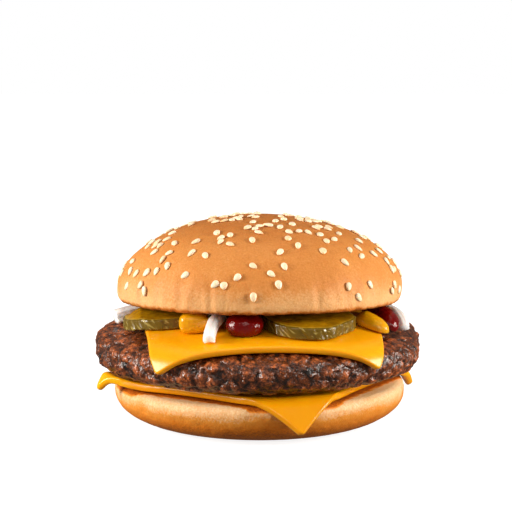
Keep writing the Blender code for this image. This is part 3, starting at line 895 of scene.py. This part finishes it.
def lay_lower(flat: Array) -> Array:
    """The lower slice: over the heel's rim at its front and right corners, and curled up at its left side."""
    reach, angles = polar(flat)
    middle = outward_offset(Heel().support(), 3.1 * GAP + LOWER_SLICE.thickness / 2)
    front, right, left = (near(angles, *corner) for corner in ((-76.0, 66), (9.0, 120), (-162.0, 90)))
    steepest = np.radians(12.0 - 9.0 * left + 49.0 * front + 50.0 * right)
    stretch = 1.0 + 0.012 * front + 0.055 * right + 0.03 * left
    hung = draped(flat * stretch[:, None], middle, steepest)
    curl = 1.6 * near(angles, -155.0, 90) + 6.8 * near(angles, -177.0, 170)
    hung[:, 2] += MM * curl * smooth(reach, 46.0 * MM, 59.0 * MM)
    radius, _ = polar(hung)
    spare = GAP * (1.0 + 1.4 * smooth(radius, 46.0 * MM, 52.0 * MM))
    hung[:, 2] = np.minimum(hung[:, 2], PATTY.underside(radius) - LOWER_SLICE.thickness / 2 - spare)
    hung[:, 2] -= 6.4 * MM * near(angles, -161.0, 1100) * ((reach - 56.0 * MM) / (6.0 * MM)).clip(0.0) ** 2
    return hung


def lay_upper(flat: Array) -> Array:
    """The upper slice: over the patty, with its front corners down the patty's side."""
    rise = 1.5 * GAP + UPPER_SLICE.thickness / 2
    front = outward_offset(PATTY.profile(PATTY.front_roundness), rise)
    back = outward_offset(PATTY.profile(PATTY.back_roundness), rise)
    steepest = np.full(len(flat), math.radians(68.0))
    share = PATTY.back_share(flat[:, 0], flat[:, 1])[:, None]
    return PATTY.wobbled(draped(flat, front, steepest) * (1.0 - share) + draped(flat, back, steepest) * share)


@dataclass
class Patty:
    """The beef: a thick disc of mince. Lump, crumb and grain each hold a size and a depth."""

    lump: tuple[float, float] = (7.5 * MM, 0.9 * MM)
    crumb: tuple[float, float] = (3.6 * MM, 0.38 * MM)
    grain: tuple[float, float] = (1.5 * MM, 0.36 * MM)
    sides: int = 740
    rings: int = 118

    def profile(self) -> Array:
        """The section, coarse where the bun and the cheese hide it and fine over the side."""
        upper = PATTY.profile(PATTY.front_roundness, 400)
        radii = np.linspace(34.0 * MM, PATTY.radius, 400)
        heights = np.interp(radii, upper[:, 0], upper[:, 1])
        side = arc((PATTY.radius, PATTY.widest_height), (PATTY.flat_radius, PATTY.bottom), PATTY.lower_roundness, 200)
        face = level_line(2.0 * MM, 33.0 * MM, PATTY.top, 6)
        foot = level_line(44.0 * MM, 2.0 * MM, PATTY.bottom, 6)
        shown = np.vstack([np.column_stack([radii, heights]), side[1:]])
        return np.vstack([face, respaced(shown, self.rings), foot])

    def build(self) -> None:
        """Makes the mince: warped cellular noise of three sizes, taken from the outline inwards."""
        points, faces = turned(self.profile(), self.sides)
        shaped = PATTY.wobbled(points)
        over = points[:, 2] > PATTY.widest_height
        shaped[over, 2] = PATTY.upper_surface(shaped[over, 0], shaped[over, 1])
        inwards = shaped - np.array([0.0, 0.0, PATTY.widest_height])
        inwards[:, :2] *= 0.35
        inwards = unit(inwards)
        warp = noise_vectors(shaped, 2.4 * MM, 2, (11.0, 14.0, 17.0))
        lumps = crevices(shaped + 0.5 * MM * warp, self.lump[0])
        crumbs = crevices(shaped + 0.5 * MM * warp, self.crumb[0])
        nearest, _ = cell_distances(shaped + 0.8 * MM * warp, self.grain[0])
        grains = smooth(nearest, 0.1, 0.95) + 0.35 * layered_noise(shaped, 1.3 * MM, 2, 20.0)
        relief = self.lump[1] * lumps + self.crumb[1] * crumbs + self.grain[1] * grains
        relief *= smooth(polar(shaped)[0], 38.0 * MM, 48.0 * MM)
        # The relief's height, by which the beef's colour paints shade into the crevices.
        height = 1.0 - (0.45 * lumps + 0.35 * crumbs + 0.55 * grains)
        made = write_mesh("patty_mince", shaped - inwards * relief[:, None], faces, {"height": height})
        serve(made, BeefFinish().build(), "patty")


@dataclass
class PickleSlice:
    """A round gherkin slice lying on the deck: two faces and a ridged skin round them.

    Bulges are (degrees, power, share) by which the outline swells or shrinks at a bearing, and thin
    is the same for how much thinner it is cut towards one side.
    """

    name: str
    centre: tuple[float, float]
    radius: float
    thickness: float = 4.2 * MM
    bulges: Sequence[tuple[float, float, float]] = ()
    thin: tuple[float, float, float] = (0.0, 1.0, 0.0)
    rim: float = 0.5 * MM
    ridge: float = 0.30 * MM
    pulp: float = 0.10 * MM
    sides: int = 300

    def profile(self) -> Array:
        """The section, with its two rims rounded a little."""
        rim = self.rim
        face = level_line(1.0 * MM, self.radius - rim, self.thickness, 40)
        upper = arc((self.radius, self.thickness - rim), (self.radius - rim, self.thickness), 2.0, 6)[::-1]
        side = np.column_stack([np.full(14, self.radius), np.linspace(self.thickness - rim, rim, 14)])
        lower = arc((self.radius, rim), (self.radius - rim, 0.0), 2.0, 6)
        back = level_line(self.radius - rim, 1.0 * MM, 0.0, 24)
        return np.vstack([face, upper[1:], side[1:], lower[1:], back[1:]])

    def build(self, finish: bpy.types.Material) -> None:
        """Makes the slice: ridges round its skin are noise drawn out from face to face."""
        points, faces = turned(self.profile(), self.sides)
        radius, angles = polar(points)
        level = points[:, 2]
        rise = level * (1.0 - self.thin[2] * near(angles, self.thin[0], self.thin[1]) * radius / self.radius)
        wave = 1.0 + 0.012 * np.cos(6 * angles)
        wave += sum(share * near(angles, degrees, power) for degrees, power, share in self.bulges)
        skin = smooth(radius, self.radius - 0.9 * MM, self.radius - 0.45 * MM)
        round_skin = np.column_stack([np.cos(angles), np.sin(angles), np.zeros(len(points))]) * self.radius
        slant = round_skin + level[:, None] * np.array([0.45, -0.4, 0.2])
        ridges = layered_noise(slant, 1.7 * MM, 3, len(self.name))
        outwards = 1.0 + skin * self.ridge * (ridges - 0.4) / self.radius
        x = points[:, 0] * wave * outwards + self.centre[0]
        y = points[:, 1] * wave * outwards + self.centre[1]
        pulp = self.pulp * layered_noise(np.column_stack([x, y, rise * 0.0]), 3.0 * MM, 2, 2.0)
        height = deck(x, y) + rise + pulp * smooth(level, self.thickness * 0.9, self.thickness)
        height = np.minimum(height, CROWN.underside(y) - GAP)
        slant = round_skin + level[:, None] * np.array([0.9, -0.8, 0.15])
        streak = smooth(layered_noise(slant,0.9 * MM, 2, 21.0), 0.25, 0.95)
        rim = 0.7 * smooth(radius, self.radius - 1.7 * MM, self.radius - 0.8 * MM)
        rim *= smooth(level, 0.6 * self.thickness, self.thickness)
        marks = {"skin": skin, "streak": streak, "rim": rim}
        made = write_mesh(self.name + "_gherkin", np.column_stack([x, y, height]), faces, marks)
        serve(made, finish, self.name)


def curve_through(points: Sequence[tuple[float, float, float]], count: int) -> Array:
    """A smooth path through a few points in millimetres, by the polynomial that passes through all of them."""
    nodes = np.array(points) * MM
    stations = np.linspace(0.0, 1.0, len(nodes))
    finer = np.linspace(0.0, 1.0, count)
    degree = len(nodes) - 1
    return np.column_stack([np.polyval(np.polyfit(stations, axis, degree), finer) for axis in nodes.T])


def swept(path: Array, width: Array, height: Array, section: Array) -> Array:
    """A section carried along a path.

    Args:
        path: The section's middles.
        width: The section's width at each of them.
        height: The section's height at each of them.
        section: The section's (side, up) points for a width and a height of 1.

    Returns:
        Rings of points, one for each place on the path.
    """
    ahead = np.gradient(path, axis=0)
    side = unit(np.cross(ahead, np.array([0.0, 0.0, 1.0])))
    up = unit(np.cross(side, ahead))
    across = width[:, None, None] * section[None, :, :1] * side[:, None, :]
    above = height[:, None, None] * section[None, :, 1:] * up[:, None, :]
    return path[:, None, :] + across + above


@dataclass
class Sauce:
    """A squeezed dollop along a short path, flat where it meets the deck or the crown.

    Blunt is how blunt its ends are, square is how square its section is, taper is the width at its
    end as a share of the width at its start, and squat is its height as a share of its width.
    """

    name: str
    path: Sequence[tuple[float, float, float]]
    width: float
    slot: Slot
    blunt: float = 3.2
    square: float = 2.0
    taper: float = 1.0
    squat: float = 0.85
    folds: float = 0.16 * MM
    stations: int = 96
    sides: int = 96

    def build(self, finish: bpy.types.Material) -> None:
        """Makes the dollop, whose girth along its path is (1 - |s|^blunt)^(1/2.4), with slow folds in its skin."""
        turns = whole_turn(self.sides)
        section = signed_power(np.column_stack([np.cos(turns), np.sin(turns)]), 2 / self.square) / 2
        share = np.sin(np.linspace(-1.0, 1.0, self.stations) * math.pi / 2) * 0.9985
        gone = (share + 1.0) / 2
        line = curve_through(self.path, self.stations)
        path = np.column_stack([np.interp(gone, np.linspace(0, 1, self.stations), axis) for axis in line.T])
        girth = self.width * (1.0 - np.abs(share) ** self.blunt) ** (1 / 2.4)
        girth = girth * (1.0 + (self.taper - 1.0) * gone)
        points = shell_points(swept(path, girth, self.squat * girth, section))
        points = between_deck_and_crown(points + self.folds * noise_vectors(points, 3.4 * MM, 2, (51.0, 52.0, 53.0)))
        made = write_mesh(self.name + "_dollop", points, shell_faces(self.stations, self.sides), {})
        serve(made, finish, self.name)


@dataclass
class OnionStrip:
    """A strip of onion with a rounded back, along a short path."""

    name: str
    path: Sequence[tuple[float, float, float]]
    width: float = 3.7 * MM
    thickness: float = 3.3 * MM
    cut: float = 1.1 * MM
    wrinkle: float = 0.10 * MM
    stations: int = 70
    sides: int = 64

    def build(self, finish: bpy.types.Material) -> None:
        """Makes the strip: a superelliptic section with fine ridges along it, its ends cut and softened."""
        turns = whole_turn(self.sides)
        section = np.column_stack([signed_power(np.cos(turns), 0.7), signed_power(np.sin(turns), 0.8)]) / 2
        section[:, 1] += 0.10 * (1.0 - (2.0 * section[:, 0]) ** 2) - 0.06
        ridge = 1.0 + 0.045 * np.cos(5 * turns + 0.6) + 0.03 * np.cos(11 * turns)
        path = curve_through(self.path, self.stations)
        length = length_along(path)
        end = np.minimum(length, length[-1] - length) / self.cut
        soft = bow(1.0 - end.clip(0.0, 1.0), 2.6) * 0.96 + 0.04
        points = shell_points(swept(path, self.width * soft, self.thickness * soft, section * ridge[:, None]))
        points = between_deck_and_crown(points + self.wrinkle * noise_vectors(points, 1.8 * MM, 1, (1.0, 2.0, 3.0)))
        line = np.tile(smooth(np.cos(7 * turns + 1.0), 0.5, 1.0), self.stations)
        line = np.concatenate([[0.0], line, [0.0]])
        made = write_mesh(self.name + "_strip", points, shell_faces(self.stations, self.sides), {"line": line})
        serve(made, finish, self.name)


@dataclass(frozen=True)
class SeedPlace:
    """Where a sesame seed lies on the level crown, and how far it is turned from pointing downhill."""

    spot: tuple[float, float, float]
    turn: float


@dataclass
class Sesame:
    """The seeds: flat drops on the crust, fewer of them low at the front."""

    length: float = 3.5 * MM
    width: float = 2.3 * MM
    thickness: float = 0.75 * MM
    count: int = 225
    spacing: float = 2.7 * MM
    draw: int = 40747
    rings: int = 9
    sides: int = 16
    places: list[SeedPlace] = field(default_factory=list)

    def spread(self) -> list[SeedPlace]:
        """Seeds dropped at random over the dome's area, one at a time, and never on one another."""
        draw = random.Random(self.draw)
        placed: list[SeedPlace] = []
        while len(placed) < self.count:
            height = draw.uniform(-0.05, 1.0)
            angle = draw.uniform(-math.pi, math.pi)
            turn = draw.gauss(0.0, math.radians(45.0))
            front = max(0.0, math.cos(angle + math.pi / 2)) ** 2
            area = math.hypot(CROWN.dome * math.sqrt(1.0 - height**2), CROWN.radius * height) / CROWN.radius
            wanted = area * (1.0 - 0.5 * front * (height < 0.62))
            radius = CROWN.radius * bow(max(height, 0.0), CROWN.dome_roundness)
            spot = (radius * math.cos(angle), radius * math.sin(angle), CROWN.dome * height)
            if draw.random() > wanted or any(math.dist(spot, other.spot) < self.spacing for other in placed):
                continue
            placed.append(SeedPlace(spot, turn))
        self.places = placed
        return placed

    def one(self) -> tuple[Array, list[Array], Array]:
        """A seed's points, faces and toast.

        Along the seed s runs from -1 to 1. The half width is sqrt(1 - s^2) (1 - 0.3 s), so that one
        end is blunt and the other pointed, and the back is a lower arch of the same kind.

        Returns:
            Points of the unplaced seed, its faces, and a number a point that is 1 at the pointed tip.
        """
        share = np.sin(np.linspace(-1.0, 1.0, self.rings + 2)[1:-1] * math.pi / 2)
        turns = whole_turn(self.sides)
        half = np.sqrt(1.0 - share**2) * (1.0 - 0.3 * share)
        rings = np.empty((self.rings, self.sides, 3))
        rings[..., 0] = share[:, None] / 2 * self.length
        rings[..., 1] = half[:, None] * np.cos(turns) / 2 * self.width
        rings[..., 2] = half[:, None] ** 0.7 * np.where(np.sin(turns) > 0, 0.85, 0.5) * np.sin(turns) * self.thickness
        points = np.vstack([[(-self.length / 2, 0, 0)], rings.reshape(-1, 3), [(self.length / 2, 0, 0)]])
        toast = smooth(points[:, 0] / self.length, 0.28, 0.5)
        return points, shell_faces(self.rings, self.sides), toast

    def build(self) -> None:
        """Makes every seed, each turned, tilted a little and toasted by its own draw."""
        base, faces, tip = self.one()
        draw = random.Random(self.draw + 1)
        spots = np.array([place.spot for place in self.places])
        normals = CROWN.normals(spots)
        spots = spots + normals * (CROWN.unevenness(spots) + 0.12 * MM)[:, None]
        clouds, toasts, rows = [], [], [[] for _ in faces]
        for index, (place, spot, normal) in enumerate(zip(self.places, spots, normals)):
            normal = Vector(normal)
            downhill = (Vector((0, 0, -1)) + normal * normal.z).normalized()
            axes = Matrix((downhill, normal.cross(downhill), normal)).transposed()
            tilt = Matrix.Rotation(draw.gauss(0.0, math.radians(5.0)), 3, "X")
            turn = np.array(axes @ Matrix.Rotation(place.turn, 3, "Z") @ tilt)
            size = np.array([draw.gauss(1.0, 0.07), draw.gauss(1.0, 0.07), draw.gauss(1.0, 0.08)])
            clouds.append((base * size) @ turn.T + spot)
            toasts.append(0.55 * tip + max(0.0, draw.gauss(0.05, 0.16)))
            for kept, face in zip(rows, faces):
                kept.append(face + index * len(base))
        points = CROWN.placed(np.vstack(clouds))
        marks = {"toast": np.concatenate(toasts)}
        made = write_mesh("sesame_seeds", points, [np.vstack(kept) for kept in rows], marks)
        serve(made, SeedFinish().build(), "bun_crown")


@dataclass
class Crown:
    """The top half of the bun. Fold, swell and dent each hold a size and a depth."""

    seeds: Sequence[SeedPlace]
    fold: tuple[float, float] = (3.4 * MM, 0.62 * MM)
    swell: tuple[float, float] = (8.0 * MM, 0.10 * MM)
    dent: tuple[float, float] = (2.1 * MM, 0.16 * MM)
    sides: int = 460

    def profile(self) -> Array:
        """The section, from the top of the dome, round the skirt and along the cut face to its middle."""
        dome = arc((CROWN.radius, 0.0), (0.0, CROWN.dome), CROWN.dome_roundness, 300)[::-1]
        skirt = arc((CROWN.radius, 0.0), (CROWN.cut_radius, -CROWN.skirt), CROWN.skirt_roundness, 60)
        shell = respaced(np.vstack([dome, skirt[1:]]), 150)
        shell[0, 0] = 0.4 * MM
        cut = level_line(CROWN.cut_radius, 1.0 * MM, -CROWN.skirt, 26)
        return np.vstack([shell, cut[1:]])

    def build(self) -> None:
        """Makes the crust: slow waves, upright wrinkles near the rim, and a shallow dent round each seed."""
        points, faces = turned(self.profile(), self.sides)
        level = points.copy()
        radius, angles = polar(points)
        normals = CROWN.normals(points)
        rim_band = smooth(points[:, 2], -5.2 * MM, -3.0 * MM) * (1.0 - smooth(points[:, 2], 3.0 * MM, 10.0 * MM))
        outline = points[:, :2] / np.maximum(radius, 1e-6)[:, None] * CROWN.radius
        folds = layered_noise(np.column_stack([outline, points[:, 2] * 0.22]), self.fold[0], 2, 30.0)
        where = 0.30 + 0.75 * near(angles, -128.0, 12.0) + 0.5 * near(angles, -38.0, 20.0)
        swells = layered_noise(points, self.swell[0], 3, 31.0) * smooth(points[:, 2], -5.2 * MM, -2.0 * MM)
        lift = CROWN.unevenness(points) + self.fold[1] * folds * rim_band * where + self.swell[1] * swells
        for place in self.seeds:
            away = np.linalg.norm(level - np.array(place.spot), axis=1)
            lift -= self.dent[1] * np.exp(-((away / self.dent[0]) ** 2))
        points = points + normals * lift[:, None]
        cut_rim = smooth(-level[:, 2], CROWN.skirt - 1.3 * MM, CROWN.skirt) * smooth(radius, 44.0 * MM, 49.0 * MM)
        points[:, 2] += 0.30 * MM * layered_noise(level, 2.0 * MM, 2, 33.0) * cut_rim
        # Real browning, with painted shade at the low front.
        browning = self.browning(level, angles)
        ragged = 0.5 * MM * soft_noise(level, 2.2 * MM, 35.0) + 0.4 * MM * soft_noise(level, 0.9 * MM, 37.0)
        cut_line = smooth(ragged - level[:, 2], 3.6 * MM, 4.8 * MM)
        browning = np.maximum(browning, cut_line * (0.82 + 0.2 * soft_noise(level, 3.0 * MM, 36.0)))
        made = write_mesh("crown_crust", CROWN.placed(points), faces, {"browning": browning})
        finish = CrustFinish(
            "baked_crown", (0.80, 0.45, 0.19), (0.64, 0.245, 0.055), (0.48, 0.145, 0.020), (0.13, 0.034, 0.006),
        )
        serve(made, finish.build(), "bun_crown")

    @staticmethod
    def browning(points: Array, angles: Array) -> Array:
        """How brown the crust is: most on top and least on a ragged band at the rim, with painted shade that makes
        the low front darker than the sides.
        """
        ragged = 2.0 * MM * soft_noise(points, 12.0 * MM, 40.0) + 0.8 * MM * soft_noise(points, 4.0 * MM, 41.0)
        level = points[:, 2] + ragged
        brown = 0.03 + 0.30 * smooth(level, -3.5 * MM, 6.0 * MM) + 0.12 * smooth(level, 8.0 * MM, 20.0 * MM)
        # Painted shade: the low front is made browner than the sides.
        brown += 0.10 * near(angles, -85.0, 8.0) * (1.0 - smooth(level, 6.0 * MM, 18.0 * MM))
        return brown + 0.20 * smooth(level, 16.0 * MM, 27.0 * MM) + 0.05 * soft_noise(points, 20.0 * MM, 42.0)


# Studio


@dataclass(frozen=True)
class Softbox:
    """A square studio light."""

    name: str
    place: tuple[float, float, float]
    size: float
    power: float
    colour: Colour = (1.0, 0.96, 0.90)

    def build(self, aim: Vector) -> None:
        """Hangs the light and turns it towards the burger."""
        lamp = bpy.data.lights.new(self.name, "AREA")
        lamp.energy = self.power
        lamp.color = self.colour
        lamp.size = self.size
        stand = add_object(self.name, lamp)
        stand.location = self.place
        stand.rotation_euler = (aim - Vector(self.place)).to_track_quat("-Z", "Y").to_euler()


@dataclass
class Studio:
    """A pale floor, a white backdrop, softboxes and the camera at the photo's angle.

    The floor's glow is its strength at the burger. Its albedo, the share of the light that it throws
    back, shows the burger's soft shadow. The fill is the world's light as the burger gets it.
    """

    aim: Vector = field(default_factory=lambda: Vector((0.0, 0.0, 0.033)))
    distance: float = 0.6
    elevation: float = math.radians(10.3)
    focal_pixels: float = 1572.0
    image_pixels: float = 512.0
    aim_pixel: tuple[float, float] = (259.35, 330.0)
    floor_glow: float = 0.86
    floor_albedo: float = 0.35
    floor_half: float = 4.0
    fill: Colour = (1.0, 0.95, 0.88)
    fill_strength: float = 0.16
    softboxes: tuple[Softbox, ...] = (
        Softbox("softbox_left", (-0.72, -0.20, 0.24), 0.32, 8.8),
        Softbox("softbox_right", (0.72, -0.20, 0.24), 0.32, 8.0),
        Softbox("softbox_top", (0.0, 0.15, 0.8), 0.6, 1.4),
        Softbox("softbox_front", (0.0, -1.0, 0.72), 0.6, 3.3),
        Softbox("bounce_below", (0.0, -0.5, -0.25), 0.5, 0.16, (1.0, 0.85, 0.65)),
    )

    def camera(self) -> None:
        """Stands the camera in front, its aim over the burger so that the burger sits low in the picture."""
        data = bpy.data.cameras.new("camera")
        data.sensor_width = 36.0
        data.lens = self.focal_pixels / self.image_pixels * data.sensor_width
        data.clip_start = 0.01
        stand = add_object("camera", data)
        back = Vector((0.0, -math.cos(self.elevation), math.sin(self.elevation)))
        stand.location = self.aim + back * self.distance
        half = self.image_pixels / 2
        pitch = math.atan((self.aim_pixel[1] - half) / self.focal_pixels) - self.elevation
        yaw = math.atan((self.aim_pixel[0] - half) / self.focal_pixels)
        stand.rotation_euler = (math.pi / 2 + pitch, 0.0, yaw)
        bpy.context.scene.camera = stand

    def floor(self) -> None:
        """A white floor that sends no light back to the burger, with a glow that rises to full white away from it."""
        mesh = bpy.data.meshes.new("floor")
        half, z = self.floor_half, -0.2 * MM
        mesh.from_pydata([(-half, -half, z), (half, -half, z), (half, half, z), (-half, half, z)], [], [(0, 1, 2, 3)])
        g = Graph("floor")
        away = g.node("ShaderNodeVectorMath", {0: g.place()}, "Value", operation="LENGTH")
        mesh.materials.append(g.finish(
            Base_Color=(*[self.floor_albedo] * 3, 1.0), Roughness=1.0, Specular_IOR_Level=0.0,
            Emission_Color=WHITE, Emission_Strength=g.span(away, 0.08, 0.30, self.floor_glow, 1.05),
        ))
        made = add_object("floor", mesh)
        made.visible_diffuse = made.visible_glossy = made.visible_transmission = made.visible_shadow = False

    def build(self) -> None:
        """Sets up the floor, the world's even light, the softboxes and the camera."""
        self.floor()
        world = bpy.data.worlds.new("studio")
        world.use_nodes = True
        tree = world.node_tree
        seen = tree.nodes.new("ShaderNodeLightPath")
        white = tree.nodes["Background"]
        white.inputs["Color"].default_value = WHITE
        dim = tree.nodes.new("ShaderNodeBackground")
        dim.inputs["Color"].default_value = (*self.fill, 1.0)
        dim.inputs["Strength"].default_value = self.fill_strength
        either = tree.nodes.new("ShaderNodeMixShader")
        tree.links.new(seen.outputs["Is Camera Ray"], either.inputs["Fac"])
        tree.links.new(dim.outputs["Background"], either.inputs[1])
        tree.links.new(white.outputs["Background"], either.inputs[2])
        tree.links.new(either.outputs["Shader"], tree.nodes["World Output"].inputs["Surface"])
        bpy.context.scene.world = world
        bpy.context.scene.view_settings.view_transform = "Standard"
        for softbox in self.softboxes:
            softbox.build(self.aim)
        self.camera()


def toppings() -> None:
    """Makes all that lies between the upper slice and the crown."""
    gherkin = PickleFinish().build()
    cut_short = ((-100.0, 12.0, 0.025), (140.0, 20.0, -0.40))
    lopsided = ((-112.0, 12.0, 0.13), (-42.0, 30.0, -0.09))
    thin = (155.0, 6.0, 0.25)
    left = PickleSlice("pickle_left", (-30.7 * MM, -15.0 * MM), 19.6 * MM, 3.7 * MM, cut_short, thin)
    right = PickleSlice("pickle_right", (18.0 * MM, -32.2 * MM), 16.9 * MM, 4.1 * MM, lopsided)
    for pickle in (left, right, PickleSlice("pickle_back", (-14.0 * MM, 44.0 * MM), 12.0 * MM)):
        pickle.build(gherkin)
    mustard = SauceFinish("mustard", (0.84, 0.42, 0.003), (0.62, 0.25, 0.001), 0.20, 0.15).build()
    ketchup = SauceFinish("ketchup", (0.20, 0.003, 0.002), (0.08, 0.001, 0.001), 0.09, 0.1, 0.34).build()
    path = [(-23.2, -34.6, 42.9), (-23.2, -39, 42.8), (-23.2, -43.5, 42.5)]
    Sauce("mustard_left", path, 10.8 * MM, Slot.MUSTARD, blunt=4.0, square=2.5, squat=0.72).build(mustard)
    path = [(36.6, -23.6, 42.3), (41, -28, 40.4), (46.2, -32.4, 38)]
    Sauce("mustard_right", path, 8.8 * MM, Slot.MUSTARD, taper=0.78).build(mustard)
    path = [(-5.3, -49.8, 42.3), (-5.3, -43.3, 42.7), (-5.3, -36.8, 43.1)]
    Sauce("ketchup_middle", path, 13.8 * MM, Slot.KETCHUP, blunt=2.2, squat=0.68).build(ketchup)
    path = [(39.4, -7.6, 42.9), (45.9, -16.4, 41.2), (47.8, -25.5, 37.4)]
    Sauce("ketchup_right", path, 8.4 * MM, Slot.KETCHUP).build(ketchup)
    onion = OnionFinish().build()
    path = [(-13.7, -36, 45.5), (-15.2, -42, 44.2), (-16.8, -47.3, 42.4), (-17.4, -53.7, 38.7)]
    OnionStrip("onion_front", path, 4.2 * MM, 4.4 * MM).build(onion)
    path = [(-37.4, 4.8, 41), (-46, -0.9, 40.3), (-55, -4.6, 38.6)]
    OnionStrip("onion_left", path, 7.4 * MM, 5.2 * MM).build(onion)
    path = [(43.8, 4, 42), (50.5, -3.5, 41.1), (53.1, -12, 39.3), (53.9, -18.4, 37.2)]
    OnionStrip("onion_right", path).build(onion)
    OnionStrip("onion_back", [(14, 40, 40.5), (20, 47, 39.5), (24, 55, 37.5)]).build(onion)


def main() -> None:
    """Dresses the burger from the heel up, then sets up the studio."""
    logging.basicConfig(level=logging.INFO, format="%(name)s: %(message)s")
    Heel().build()
    # The lower slice's finish is glossier than the upper slice's and, as painted shade, darker.
    moist = CheeseFinish("moist_cheese_painted_shade", (0.80, 0.32, 0.001), (0.72, 0.26, 0.001), roughness=0.24)
    CheeseSlice("cheese_lower_slice", "cheese_lower", LOWER_SLICE, lay_lower).build(moist.build())
    Patty().build()
    melted = CheeseFinish("melted_cheese")
    CheeseSlice("cheese_upper_slice", "cheese_upper", UPPER_SLICE, lay_upper).build(melted.build())
    toppings()
    sesame = Sesame()
    Crown(sesame.spread()).build()
    sesame.build()
    Studio().build()


if __name__ == "__main__":
    main()
